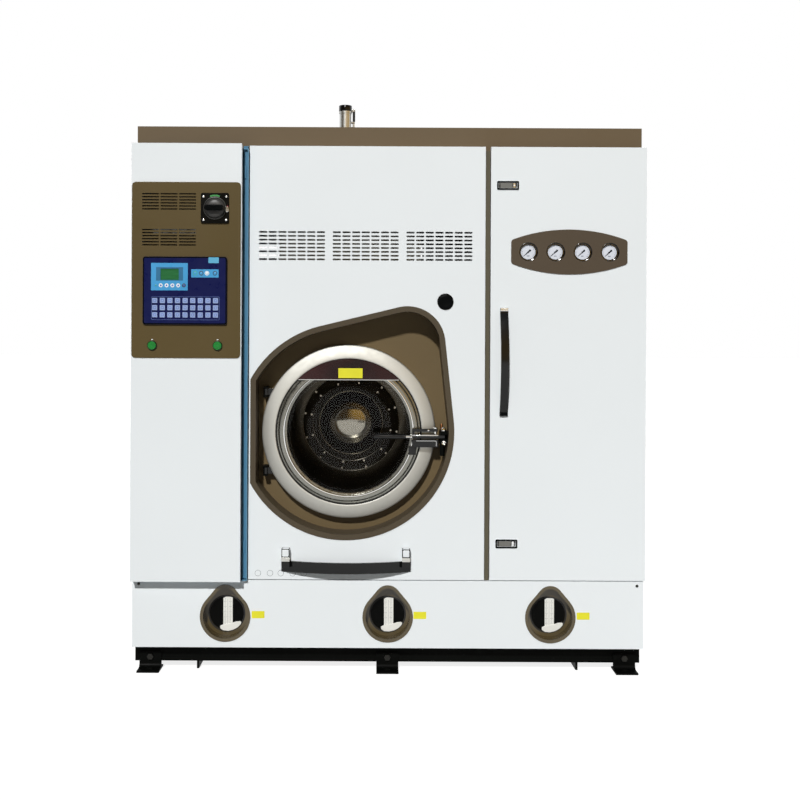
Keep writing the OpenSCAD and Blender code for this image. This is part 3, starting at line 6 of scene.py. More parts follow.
import bmesh
import bpy
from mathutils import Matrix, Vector


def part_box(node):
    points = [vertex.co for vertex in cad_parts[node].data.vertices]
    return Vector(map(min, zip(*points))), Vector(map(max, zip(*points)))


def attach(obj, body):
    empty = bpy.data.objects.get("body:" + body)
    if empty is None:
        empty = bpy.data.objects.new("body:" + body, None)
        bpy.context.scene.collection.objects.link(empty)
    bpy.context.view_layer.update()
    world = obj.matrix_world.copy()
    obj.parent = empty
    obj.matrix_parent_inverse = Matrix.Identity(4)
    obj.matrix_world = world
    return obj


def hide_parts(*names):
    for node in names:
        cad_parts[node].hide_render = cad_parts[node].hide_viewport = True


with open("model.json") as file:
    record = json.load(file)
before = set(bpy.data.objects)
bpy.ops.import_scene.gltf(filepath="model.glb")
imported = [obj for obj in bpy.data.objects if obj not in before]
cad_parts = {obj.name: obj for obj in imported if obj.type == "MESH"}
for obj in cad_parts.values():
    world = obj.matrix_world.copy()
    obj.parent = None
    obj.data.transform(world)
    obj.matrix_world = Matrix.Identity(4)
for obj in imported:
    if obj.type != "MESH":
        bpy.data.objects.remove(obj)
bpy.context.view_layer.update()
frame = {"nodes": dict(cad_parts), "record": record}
nodes = frame["nodes"]
scene = bpy.context.scene
scene.view_settings.view_transform = "Standard"

MM = 0.001
WHITE = (1.0, 1.0, 1.0)
EVEN = (1.0, 1.0, 1.0)         # noise that isn't stretched
NOISE_RANGE = (0.3, 0.7)       # the noise's middle range, in which colour and roughness drift
KEY = 2.98                     # sun from the front
BACK = 1.35                    # sun from behind
FILL = 0.035                   # even light on rough surfaces
FLOOR_WHITE = 0.82             # white that the floor shows to the camera and to mirrors
FLOOR_HALF = 60.0              # half of the floor's side
# Colours of the room in front, from straight down (0) over the horizon (0.5) to straight up (1)
ROOM_STOPS = (
    (0.0, (0.20, 0.18, 0.15)), (0.14, (0.10, 0.09, 0.08)), (0.22, (0.60, 0.59, 0.56)),
    (0.47, (0.92, 0.91, 0.88)), (0.495, (0.30, 0.20, 0.08)), (0.515, (0.66, 0.42, 0.13)),
    (0.62, (0.80, 0.52, 0.17)), (0.72, (0.42, 0.26, 0.08)), (0.80, (0.03, 0.027, 0.022)),
    (0.92, (0.50, 0.53, 0.56)), (1.0, (0.80, 0.82, 0.84)))


# ---------------------------------------------------------------- camera and light

def make_camera():
    cam = bpy.data.cameras.new("camera")
    cam.lens = 51.43
    cam.sensor_width = 36.0
    cam.shift_x = 0.03125
    cam.shift_y = -0.08125
    cam.clip_start = 0.05
    cam.clip_end = 60.0
    obj = bpy.data.objects.new("camera", cam)
    obj.location = (-0.049, -4.575, 1.1865)
    obj.rotation_euler = (math.radians(90.0), math.radians(-0.27), 0.0)
    scene.collection.objects.link(obj)
    scene.camera = obj


def sun(name, direction, strength, angle, color):
    light = bpy.data.lights.new(name, "SUN")
    light.energy = strength
    light.angle = math.radians(angle)
    light.color = color
    obj = bpy.data.objects.new(name, light)
    obj.location = Vector(direction) * -6.0
    obj.rotation_euler = Vector(direction).to_track_quat("-Z", "Y").to_euler()
    scene.collection.objects.link(obj)


def map_range(tree, value, low, high, a=0.0, b=1.0):
    """Output that goes from a to b where the value goes from low to high, and stays there beyond."""
    n = tree.nodes.new("ShaderNodeMapRange")
    for name, number in (("From Min", low), ("From Max", high), ("To Min", a), ("To Max", b)):
        n.inputs[name].default_value = number
    tree.links.new(value, n.inputs["Value"])
    return n.outputs["Result"]


def mix_color(tree):
    """A node that mixes two colours: its factor, its two colour inputs and its output."""
    mix = tree.nodes.new("ShaderNodeMix")
    mix.data_type = "RGBA"
    first, second = [s for s in mix.inputs if s.type == "RGBA"]
    return mix.inputs["Factor"], first, second, [s for s in mix.outputs if s.type == "RGBA"][0]


def seen_by(tree, *rays):
    """1 for the named kinds of ray, 0 for all others."""
    path = tree.nodes.new("ShaderNodeLightPath")
    fac = path.outputs[rays[0]]
    for ray in rays[1:]:
        either = tree.nodes.new("ShaderNodeMath")
        either.operation = "MAXIMUM"
        tree.links.new(fac, either.inputs[0])
        tree.links.new(path.outputs[ray], either.inputs[1])
        fac = either.outputs[0]
    return fac


def mixed(tree, fac, first, second):
    """Shader that goes from the first to the second with the factor."""
    mix = tree.nodes.new("ShaderNodeMixShader")
    tree.links.new(fac, mix.inputs["Fac"])
    tree.links.new(first.outputs[0], mix.inputs[1])
    tree.links.new(second.outputs[0], mix.inputs[2])
    return mix


def glow(tree, kind, color, strength):
    """A background or an emission of one colour."""
    node = tree.nodes.new(kind)
    node.inputs["Color"].default_value = (*color, 1.0)
    node.inputs["Strength"].default_value = strength
    return node


def room(tree):
    """Colour of the studio by direction, for mirrors: white behind, the room in front."""
    coords = tree.nodes.new("ShaderNodeTexCoord")
    split = tree.nodes.new("ShaderNodeSeparateXYZ")
    tree.links.new(coords.outputs["Generated"], split.inputs["Vector"])
    ramp = tree.nodes.new("ShaderNodeValToRGB")
    for end, (position, color) in zip(ramp.color_ramp.elements, (ROOM_STOPS[0], ROOM_STOPS[-1])):
        end.position = position
        end.color = (*color, 1.0)
    for position, color in ROOM_STOPS[1:-1]:
        ramp.color_ramp.elements.new(position).color = (*color, 1.0)
    tree.links.new(map_range(tree, split.outputs["Z"], -1.0, 1.0), ramp.inputs["Fac"])
    # Darker towards the left
    dim = tree.nodes.new("ShaderNodeVectorMath")
    dim.operation = "SCALE"
    tree.links.new(ramp.outputs["Color"], dim.inputs[0])
    tree.links.new(map_range(tree, split.outputs["X"], -0.12, 0.06, 0.10), dim.inputs["Scale"])
    # White from the side on towards the back
    fac, front, back, mix = mix_color(tree)
    tree.links.new(dim.outputs["Vector"], front)
    back.default_value = (*WHITE, 1.0)
    tree.links.new(map_range(tree, split.outputs["Y"], -0.15, 0.1), fac)
    return mix


def make_light():
    # Key from high in front and a little to the left, a weak one from behind for the back
    sun("key", (0.17, 1.0, -0.69), KEY, 3.0, (1.0, 0.99, 0.97))
    sun("back", (-0.35, -1.0, -0.75), BACK, 20.0, (0.96, 0.98, 1.0))
    world = bpy.data.worlds.new("studio")
    world.use_nodes = True
    scene.world = world
    tree = world.node_tree
    tree.nodes.clear()
    out = tree.nodes.new("ShaderNodeOutputWorld")
    fill = glow(tree, "ShaderNodeBackground", (0.93, 0.97, 1.0), FILL)
    white = glow(tree, "ShaderNodeBackground", WHITE, 1.0)
    around = tree.nodes.new("ShaderNodeBackground")
    tree.links.new(room(tree), around.inputs["Color"])
    lit = mixed(tree, seen_by(tree, "Is Glossy Ray", "Is Transmission Ray"), fill, around)
    sky = mixed(tree, seen_by(tree, "Is Camera Ray"), lit, white)
    tree.links.new(sky.outputs[0], out.inputs["Surface"])


def make_floor():
    mesh = bpy.data.meshes.new("floor")
    s = FLOOR_HALF
    mesh.from_pydata([(-s, -s, 0), (s, -s, 0), (s, s, 0), (-s, s, 0)], [], [(0, 1, 2, 3)])
    floor = bpy.data.objects.new("floor", mesh)
    scene.collection.objects.link(floor)
    mat = bpy.data.materials.new("floor")
    mat.use_nodes = True
    tree = mat.node_tree
    bsdf = tree.nodes["Principled BSDF"]
    bsdf.inputs["Base Color"].default_value = (0.38, 0.38, 0.37, 1.0)
    bsdf.inputs["Roughness"].default_value = 0.9
    bsdf.inputs["Specular IOR Level"].default_value = 0.1
    white = glow(tree, "ShaderNodeEmission", WHITE, FLOOR_WHITE)
    black = glow(tree, "ShaderNodeEmission", WHITE, 0.0)
    mix = mixed(tree, seen_by(tree, "Is Camera Ray", "Is Glossy Ray", "Is Transmission Ray"), black, white)
    add = tree.nodes.new("ShaderNodeAddShader")
    tree.links.new(bsdf.outputs[0], add.inputs[0])
    tree.links.new(mix.outputs[0], add.inputs[1])
    tree.links.new(add.outputs[0], tree.nodes["Material Output"].inputs["Surface"])
    mesh.materials.append(mat)


make_camera()
make_light()
make_floor()


# ---------------------------------------------------------------- materials

class Mat:
    """A Principled material with a few procedural helpers."""

    def __init__(self, name, color, rough, metal, **sockets):
        self.mat = bpy.data.materials.new(name)
        self.mat.use_nodes = True
        self.tree = self.mat.node_tree
        self.bsdf = self.tree.nodes["Principled BSDF"]
        self.color = color
        self.rough = rough
        self.set("Base Color", (*color, 1.0))
        self.set("Roughness", rough)
        self.set("Metallic", metal)
        for key, value in sockets.items():
            self.set(key.replace("_", " "), value)
        self.coords = None

    def set(self, socket, value):
        self.bsdf.inputs[socket].default_value = value

    def add(self, kind):
        return self.tree.nodes.new(kind)

    def link(self, a, b):
        self.tree.links.new(a, b)

    def coord(self, scale):
        if self.coords is None:
            self.coords = self.add("ShaderNodeTexCoord")
        mapping = self.add("ShaderNodeMapping")
        mapping.inputs["Scale"].default_value = scale
        self.link(self.coords.outputs["Object"], mapping.inputs["Vector"])
        return mapping.outputs["Vector"]

    def noise(self, scale, detail, stretch):
        n = self.add("ShaderNodeTexNoise")
        n.inputs["Scale"].default_value = scale
        n.inputs["Detail"].default_value = detail
        self.link(self.coord(stretch), n.inputs["Vector"])
        return n.outputs["Fac"]

    def drift(self, fac, a, b):
        """Goes from a to b where the noise goes through its middle range."""
        return map_range(self.tree, fac, *NOISE_RANGE, a, b)

    def vary_color(self, scale, amount, detail=3.0, stretch=EVEN):
        """Soft drift of the colour by noise, darker and lighter by the given share."""
        fac, dark, light, mix = mix_color(self.tree)
        dark.default_value = (*(c * (1 - amount) for c in self.color), 1.0)
        light.default_value = (*(min(1.0, c * (1 + amount)) for c in self.color), 1.0)
        self.link(self.drift(self.noise(scale, detail, stretch), 0.0, 1.0), fac)
        self.link(mix, self.bsdf.inputs["Base Color"])
        return self

    def vary_rough(self, scale, amount, stretch=EVEN):
        """Soft drift of the roughness by noise, up and down by the given amount."""
        low, high = max(0.02, self.rough - amount), min(1.0, self.rough + amount)
        self.link(self.drift(self.noise(scale, 4.0, stretch), low, high), self.bsdf.inputs["Roughness"])
        return self

    def bump(self, scale, distance, strength, detail=2.0, stretch=EVEN):
        """Fine relief by noise; the distance is in metres."""
        n = self.add("ShaderNodeBump")
        n.inputs["Strength"].default_value = strength
        n.inputs["Distance"].default_value = distance
        self.link(self.noise(scale, detail, stretch), n.inputs["Height"])
        self.link(n.outputs["Normal"], self.bsdf.inputs["Normal"])
        return self


def srgb(r, g, b):
    """8-bit display colour to linear."""
    out = []
    for c in (r, g, b):
        c = c / 255.0
        out.append(c / 12.92 if c <= 0.04045 else ((c + 0.055) / 1.055) ** 2.4)
    return tuple(out)


M = {}


def material(name, slot, color, rough, metal=0.0, **sockets):
    """Makes the material and stores with it the slot that it belongs to."""
    M[name] = Mat(name, color, rough, metal, **sockets)
    M[name].slot = slot
    return M[name]


material("white_panel", "white_panel", srgb(236, 241, 244), 0.34, Specular_IOR_Level=0.4) \
    .vary_color(1.3, 0.012).vary_rough(3.0, 0.05).bump(900.0, 0.00002, 0.35)
for name, color in (("brown_paint", srgb(90, 76, 46)), ("recess_paint", srgb(106, 91, 65)),
                    ("lip_paint", srgb(82, 73, 59)), ("post_paint", srgb(92, 87, 72)),
                    ("plate_paint", srgb(84, 73, 60))):
    material(name, "brown_paint", color, 0.42, Specular_IOR_Level=0.15) \
        .vary_color(2.2, 0.05).vary_rough(6.0, 0.06).bump(1100.0, 0.00003, 0.5)
material("black_paint", "black_paint", srgb(6, 7, 6), 0.5, Specular_IOR_Level=0.04) \
    .vary_color(5.0, 0.25).vary_rough(7.0, 0.10).bump(700.0, 0.00003, 0.6)
for name, color in (("blue_paint", srgb(84, 132, 160)), ("edge_blue", srgb(68, 120, 152))):
    material(name, "blue_paint", color, 0.38, Specular_IOR_Level=0.3) \
        .vary_color(3.0, 0.06).vary_rough(6.0, 0.06).bump(1000.0, 0.00002, 0.4)
material("cover_paint", "brown_paint", srgb(107, 92, 71), 0.42, Specular_IOR_Level=0.15) \
    .vary_color(1.4, 0.02).vary_rough(6.0, 0.06).bump(1100.0, 0.00003, 0.5)
material("dark_zinc", "zinc_steel", srgb(44, 44, 42), 0.45, 0.9) \
    .vary_color(40.0, 0.15).vary_rough(45.0, 0.08)
material("brown_gloss", "brown_paint", srgb(82, 71, 47), 0.22, Specular_IOR_Level=0.6) \
    .vary_color(9.0, 0.08).vary_rough(14.0, 0.06).bump(300.0, 0.00004, 0.4)
material("machine_paint", "machine_paint", srgb(66, 86, 104), 0.42) \
    .vary_color(6.0, 0.08).vary_rough(8.0, 0.08).bump(500.0, 0.00005, 0.5)
material("stainless", "stainless", srgb(196, 197, 194), 0.34, 1.0) \
    .vary_color(3.0, 0.05).vary_rough(60.0, 0.08, (1.0, 1.0, 30.0)) \
    .bump(120.0, 0.00003, 0.3, 3.0, (1.0, 1.0, 40.0))
material("bright_steel", "bright_steel", srgb(206, 198, 182), 0.10, 1.0) \
    .vary_color(4.0, 0.05).vary_rough(14.0, 0.04)
material("zinc_steel", "zinc_steel", srgb(168, 170, 168), 0.42, 1.0) \
    .vary_color(40.0, 0.10, 1.0).vary_rough(45.0, 0.10)
material("cast_metal", "cast_metal", srgb(78, 80, 80), 0.5, 0.8) \
    .vary_color(9.0, 0.15).vary_rough(20.0, 0.10).bump(260.0, 0.0001, 0.5)
material("ring_satin", "cast_aluminium", srgb(182, 182, 177), 0.55, 0.9) \
    .vary_color(8.0, 0.03).vary_rough(50.0, 0.04).bump(900.0, 0.00003, 0.4)
material("flange_steel", "cast_aluminium", srgb(138, 138, 132), 0.28, 1.0) \
    .vary_color(8.0, 0.03).vary_rough(50.0, 0.04)
# Darkened, brownish steel for the basket and its mouth: painted shade, so that the inside of the drum looks dim
# behind the glass
material("shaded_drum_steel", "bright_steel", srgb(104, 98, 86), 0.15, 1.0) \
    .vary_color(6.0, 0.06).vary_rough(9.0, 0.03)
# Near-black steel for the hub plates: painted shade for the dim back of the drum
material("shaded_hub_steel", "bright_steel", srgb(34, 31, 24), 0.42, 1.0) \
    .vary_color(6.0, 0.06).vary_rough(9.0, 0.03)
material("mirror_steel", "bright_steel", srgb(226, 220, 204), 0.10, 1.0) \
    .vary_color(3.0, 0.03).vary_rough(9.0, 0.015)
material("cast_aluminium", "cast_aluminium", srgb(168, 168, 164), 0.42, 0.8) \
    .vary_color(8.0, 0.03).vary_rough(50.0, 0.05).bump(900.0, 0.00003, 0.5)
material("copper_pipe", "copper_pipe", srgb(168, 112, 72), 0.34, 1.0) \
    .vary_color(9.0, 0.15).vary_rough(18.0, 0.10)
material("black_rubber", "black_rubber", srgb(20, 20, 20), 0.75) \
    .vary_color(20.0, 0.15).bump(900.0, 0.00005, 0.6)
material("black_plastic", "black_plastic", srgb(12, 13, 13), 0.16, Specular_IOR_Level=0.3) \
    .vary_color(9.0, 0.12).vary_rough(16.0, 0.05)
material("grey_plastic", "grey_plastic", srgb(108, 108, 104), 0.5) \
    .vary_color(15.0, 0.08).vary_rough(20.0, 0.06).bump(900.0, 0.00004, 0.5)
material("navy_film", "navy_film", srgb(6, 16, 72), 0.3, Specular_IOR_Level=0.2) \
    .vary_color(6.0, 0.03).vary_rough(30.0, 0.05).bump(1300.0, 0.00001, 0.3)
material("green_lens", "green_lens", srgb(24, 128, 48), 0.14, Coat_Weight=0.5, Coat_Roughness=0.04) \
    .vary_color(60.0, 0.2).vary_rough(40.0, 0.04)
# Films, marks and faces of the small pieces
material("sky_film", "navy_film", srgb(74, 160, 215), 0.3, Specular_IOR_Level=0.3) \
    .vary_color(9.0, 0.06).vary_rough(30.0, 0.05)
material("bezel_film", "navy_film", srgb(52, 112, 150), 0.35, Specular_IOR_Level=0.3) \
    .vary_color(9.0, 0.08).vary_rough(30.0, 0.05)
material("tab_film", "navy_film", srgb(98, 178, 214), 0.35, Specular_IOR_Level=0.3) \
    .vary_color(9.0, 0.06).vary_rough(30.0, 0.05)
material("key_film", "grey_plastic", srgb(150, 170, 216), 0.4, Specular_IOR_Level=0.3) \
    .vary_color(12.0, 0.07).vary_rough(40.0, 0.06).bump(1500.0, 0.00001, 0.3)
material("key_mark", "grey_plastic", srgb(96, 120, 190), 0.5, Specular_IOR_Level=0.2) \
    .vary_color(80.0, 0.25)
material("line_film", "navy_film", srgb(96, 116, 170), 0.4, Specular_IOR_Level=0.2) \
    .vary_color(60.0, 0.2)
material("display", "navy_film", srgb(48, 112, 66), 0.12, Specular_IOR_Level=0.3, Coat_Weight=0.2) \
    .vary_color(20.0, 0.12, stretch=(1.0, 1.0, 8.0)).vary_rough(30.0, 0.04)
material("mark_white", "grey_plastic", srgb(236, 240, 242), 0.35).vary_color(30.0, 0.03)
for name, slot, color, rough in (
        ("mark_blue", "navy_film", srgb(52, 92, 190), 0.3),
        ("mark_teal", "navy_film", srgb(70, 176, 168), 0.3),
        ("dim_green", "green_lens", srgb(66, 158, 150), 0.3),
        ("mark_green", "green_lens", srgb(48, 140, 66), 0.45),
        ("mark_red", "grey_plastic", srgb(140, 34, 28), 0.45),
        ("mark_ink", "black_plastic", srgb(48, 66, 84), 0.4)):
    material(name, slot, color, rough).vary_color(60.0, 0.1)
material("print_grey", "grey_plastic", srgb(120, 126, 132), 0.55, Specular_IOR_Level=0.2).vary_color(60.0, 0.15)
material("tag_yellow", "grey_plastic", srgb(232, 226, 52), 0.45, Specular_IOR_Level=0.3) \
    .vary_color(14.0, 0.05).vary_rough(40.0, 0.05)
material("scale_white", "grey_plastic", srgb(236, 236, 230), 0.35) \
    .vary_color(14.0, 0.03).vary_rough(40.0, 0.05)
material("gauge_face", "grey_plastic", srgb(222, 226, 236), 0.4, Specular_IOR_Level=0.3) \
    .vary_color(20.0, 0.03).vary_rough(40.0, 0.05)
material("gauge_grey", "grey_plastic", srgb(150, 156, 168), 0.5, Specular_IOR_Level=0.2).vary_color(60.0, 0.1)
material("gauge_ink", "black_plastic", srgb(14, 20, 32), 0.4, Specular_IOR_Level=0.2).vary_color(40.0, 0.1)
material("black_trim", "black_plastic", srgb(5, 7, 8), 0.35, Specular_IOR_Level=0.04) \
    .vary_color(12.0, 0.2).vary_rough(20.0, 0.08).bump(1200.0, 0.00002, 0.4)
material("black_gloss", "black_paint", srgb(12, 12, 12), 0.14, Specular_IOR_Level=0.35) \
    .vary_color(12.0, 0.2).vary_rough(20.0, 0.05)
material("grey_ring", "black_plastic", srgb(52, 52, 50), 0.35, Specular_IOR_Level=0.3) \
    .vary_color(12.0, 0.1).vary_rough(20.0, 0.08)
material("knob_grey", "black_plastic", srgb(58, 57, 56), 0.4, Specular_IOR_Level=0.3) \
    .vary_color(12.0, 0.1).vary_rough(20.0, 0.08).bump(1200.0, 0.00002, 0.4)
material("green_ring", "black_plastic", srgb(20, 52, 28), 0.3, Specular_IOR_Level=0.3) \
    .vary_color(30.0, 0.15).vary_rough(20.0, 0.06)
material("bright_zinc", "zinc_steel", srgb(226, 228, 228), 0.25, 1.0) \
    .vary_color(40.0, 0.06).vary_rough(45.0, 0.06)
material("chrome", "bright_steel", srgb(214, 214, 212), 0.08, 1.0) \
    .vary_color(20.0, 0.04).vary_rough(30.0, 0.03)
material("bolt_bright", "bright_steel", srgb(222, 214, 196), 0.16, 1.0) \
    .vary_color(40.0, 0.08).vary_rough(30.0, 0.05)
# Glasses
material("dark_glass", "dark_glass", srgb(14, 12, 8), 0.02, Specular_IOR_Level=0.3, Alpha=0.24, IOR=1.5) \
    .vary_color(6.0, 0.1).vary_rough(12.0, 0.012)
material("sight_glass", "sight_glass", srgb(4, 4, 3), 0.08, Specular_IOR_Level=0.05, Alpha=0.985, IOR=1.5) \
    .vary_color(12.0, 0.2).vary_rough(12.0, 0.015)
# Dark red with a strong drift, for the plate over the top of the drum door's glass: painted reflection
material("painted_reflection_film", "dark_glass", srgb(44, 12, 12), 0.12, Specular_IOR_Level=0.3, Alpha=0.93) \
    .vary_color(7.0, 0.6).vary_rough(12.0, 0.05)


def dress(node, name):
    """Gives a node of the part one of the materials."""
    mesh = nodes[node].data
    mesh.materials.clear()
    mesh.materials.append(M[name].mat)


for part in frame["record"]["subparts"]:
    dress(part["node"], part["material_slot"])
for node, name in (("sight_collars", "brown_gloss"), ("recess_floor", "recess_paint"),
                   ("recess_shroud", "lip_paint"), ("cabinet_frame", "post_paint"),
                   # The basket and its mouth take the darkened steel, which is painted shade
                   ("gauge_plate", "plate_paint"), ("basket", "shaded_drum_steel"),
                   ("basket_mouth", "shaded_drum_steel"), ("top_cover", "cover_paint"),
                   ("foot_bolts", "dark_zinc")):
    dress(node, name)


# ---------------------------------------------------------------- mesh helpers

def polar(cx, cz, r, degrees):
    a = math.radians(degrees)
    return cx + r * math.cos(a), cz + r * math.sin(a)


def rect(cx, cz, w, h, r=0.0, n=5):
    """Outline of a rectangle in the front plane, with rounded corners."""
    if r <= 0.0:
        return [(cx + sx * w / 2, cz + sz * h / 2) for sx, sz in ((-1, -1), (1, -1), (1, 1), (-1, 1))]
    points = []
    for i, (sx, sz) in enumerate(((1, -1), (1, 1), (-1, 1), (-1, -1))):
        for k in range(n + 1):
            points.append(polar(cx + sx * (w / 2 - r), cz + sz * (h / 2 - r), r, -90 + 90 * i + 90 * k / n))
    return points


def circle(cx, cz, r, n=40):
    return [polar(cx, cz, r, 360 * k / n) for k in range(n)]


def arc_band(cx, cz, r0, r1, a0, a1, n=16):
    """Outline of a band between two radii and two angles in degrees."""
    return [polar(cx, cz, r1, a0 + (a1 - a0) * k / n) for k in range(n + 1)] + \
           [polar(cx, cz, r0, a1 + (a0 - a1) * k / n) for k in range(n + 1)]


def turned_outline(points, cx, cz, degrees):
    """The outline, turned round a point."""
    a = math.radians(degrees)
    return [(cx + (x - cx) * math.cos(a) - (z - cz) * math.sin(a),
             cz + (x - cx) * math.sin(a) + (z - cz) * math.cos(a)) for x, z in points]


def prism(bm, outline, y0, y1):
    """A plate with the outline (x, z), between the depths y0 and y1."""
    front = [bm.verts.new((x, y0, z)) for x, z in outline]
    back = [bm.verts.new((x, y1, z)) for x, z in outline]
    bm.faces.new(front)
    bm.faces.new(list(reversed(back)))
    for i in range(len(outline)):
        j = (i + 1) % len(outline)
        bm.faces.new((front[j], front[i], back[i], back[j]))


def window(bm, outer, inner, y0, y1):
    """A plate with a hole; both outlines have the same number of points."""
    n = len(outer)
    rings = [[bm.verts.new((x, y, z)) for x, z in line] for line in (outer, inner) for y in (y0, y1)]
    for a, b in ((0, 2), (2, 3), (3, 1), (1, 0)):
        for i in range(n):
            j = (i + 1) % n
            bm.faces.new((rings[a][i], rings[a][j], rings[b][j], rings[b][i]))


def turn(bm, profile, n, point):
    """Turns the profile (r, along) round an axis; point(a, b, along) places the two offsets from it."""
    rings = []
    for r, along in profile:
        if r < 1e-6:
            rings.append([bm.verts.new(point(0.0, 0.0, along))])
        else:
            angles = [2 * math.pi * k / n for k in range(n)]
            rings.append([bm.verts.new(point(r * math.cos(a), r * math.sin(a), along)) for a in angles])
    join_rings(bm, rings, n)


def lathe(bm, cx, cz, profile, n=40):
    """Turns the profile (r, y) round an axis that runs front to back."""
    turn(bm, profile, n, lambda a, b, y: (cx + a, y, cz + b))


def lathe_up(bm, cx, cy, profile, n=32):
    """Turns the profile (r, z) round an upright axis."""
    turn(bm, profile, n, lambda a, b, z: (cx + a, cy + b, z))


def lathe_across(bm, y, z, profile, n=24):
    """Turns the profile (r, x) round an axis that runs left to right."""
    turn(bm, profile, n, lambda a, b, x: (x, y + a, z + b))


def join_rings(bm, rings, n):
    for a, b in zip(rings, rings[1:]):
        for k in range(n):
            m = (k + 1) % n
            if len(a) == 1 and len(b) == 1:
                continue
            if len(a) == 1:
                bm.faces.new((a[0], b[m], b[k]))
            elif len(b) == 1:
                bm.faces.new((a[k], a[m], b[0]))
            else:
                bm.faces.new((a[k], a[m], b[m], b[k]))


def box_mm(node):
    """Limits of a node of the part in millimetres: x0, x1, y0, y1, z0, z1."""
    low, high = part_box(node)
    return [end[axis] * 1000.0 for axis in range(3) for end in (low, high)]


def block(bm, x0, x1, y0, y1, z0, z1):
    prism(bm, [(x0, z0), (x1, z0), (x1, z1), (x0, z1)], y0, y1)


def piece(name, bm, mat, body, bevel=0.0, segments=2, smooth=False):
    """Makes the mesh, built in millimetres, a piece that rides on a body."""
    bmesh.ops.recalc_face_normals(bm, faces=bm.faces)
    bmesh.ops.scale(bm, vec=(MM, MM, MM), verts=bm.verts)
    for f in bm.faces:
        f.smooth = smooth
    mesh = bpy.data.meshes.new(name)
    bm.to_mesh(mesh)
    bm.free()
    obj = bpy.data.objects.new(name, mesh)
    scene.collection.objects.link(obj)
    mesh.materials.append(M[mat].mat)
    if bevel > 0.0:
        mod = obj.modifiers.new("edges", "BEVEL")
        mod.width = bevel * MM
        mod.segments = segments
        mod.limit_method = "ANGLE"
        mod.angle_limit = math.radians(40)
        mod.harden_normals = True
        for f in mesh.polygons:
            f.use_smooth = True
    elif smooth:
        mesh.set_sharp_from_angle(angle=math.radians(38))
    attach(obj, body)
    return obj


def made(name, mat, body, builder, *args, **kw):
    """One piece made of one shape."""
    return pieces(name, builder, [args], mat, body, **kw)


def pieces(name, builder, items, mat, body, **kw):
    """One piece made of many equal shapes."""
    bm = bmesh.new()
    for item in items:
        builder(bm, *item)
    return piece(name, bm, mat, body, **kw)


def pan_profile(seat, r, h):
    """Profile of a pan head from its top down to its seat; h is signed, towards the head's top."""
    return [(0, seat + h), (r * 0.55, seat + h * 0.98), (r * 0.88, seat + h * 0.65), (r, seat + h * 0.2),
            (r, seat), (0, seat)]


def bolt_head(bm, x, y, z, r, h):
    """Pan head whose seat is at depth y, standing towards the front."""
    lathe(bm, x, z, pan_profile(y, r, -h), 20)


def side_head(bm, x, y, z, r, h):
    """Pan head on a side panel: h is signed, outwards along X."""
    lathe_across(bm, y, z, pan_profile(x, r, h), 20)


def hex_head(bm, x, y, z, r, h):
    lathe(bm, x, z, [(0, y - h), (r * 0.86, y - h), (r, y - h * 0.82), (r, y), (0, y)], 6)


# ---------------------------------------------------------------- places of the features, in millimetres

CX, CZ, CY = -705.5, 1336.5, -636.0       # middle and front of the controller
SX, SZ, SY = -603.5, 1621.5, -633.0       # middle and front of the switch plate
BUTTON_Z = 1147.0
BUTTON_SIDE = 113                         # of each push button from the controller's middle
PANEL_Y = -575.0                          # front of the skirt and the centre panel
GAUGES_X, GAUGES_Z, GAUGES_STEP = 629.5, 1480.0, 95.0
SCALE_Y = -564.75, -564.45                # front and back of the print on the gauges
TRAY_X = 414                              # middle of the flush latches
TRAY_BACK = -561.4
HANDLE_X, HANDLE_SIDE = -147, 210         # middle of the lower handle, and its posts from there
PLUG_X, PLUG_Z = 197, 1304
DAMPER_X, DAMPER_Y, HOSE_X = -164.0, -275.0, -132.2
WINDOWS_X, WINDOWS_Z = (-569.0, 0.0, 569.0), 199.0
LEVER_Y, LEVER_Z = -534.0, 828.0          # axis of the latch lever's grip
DOOR_X, DOOR_Z = -141.5, 842.6            # axis of the drum and its door


# ---------------------------------------------------------------- control panel

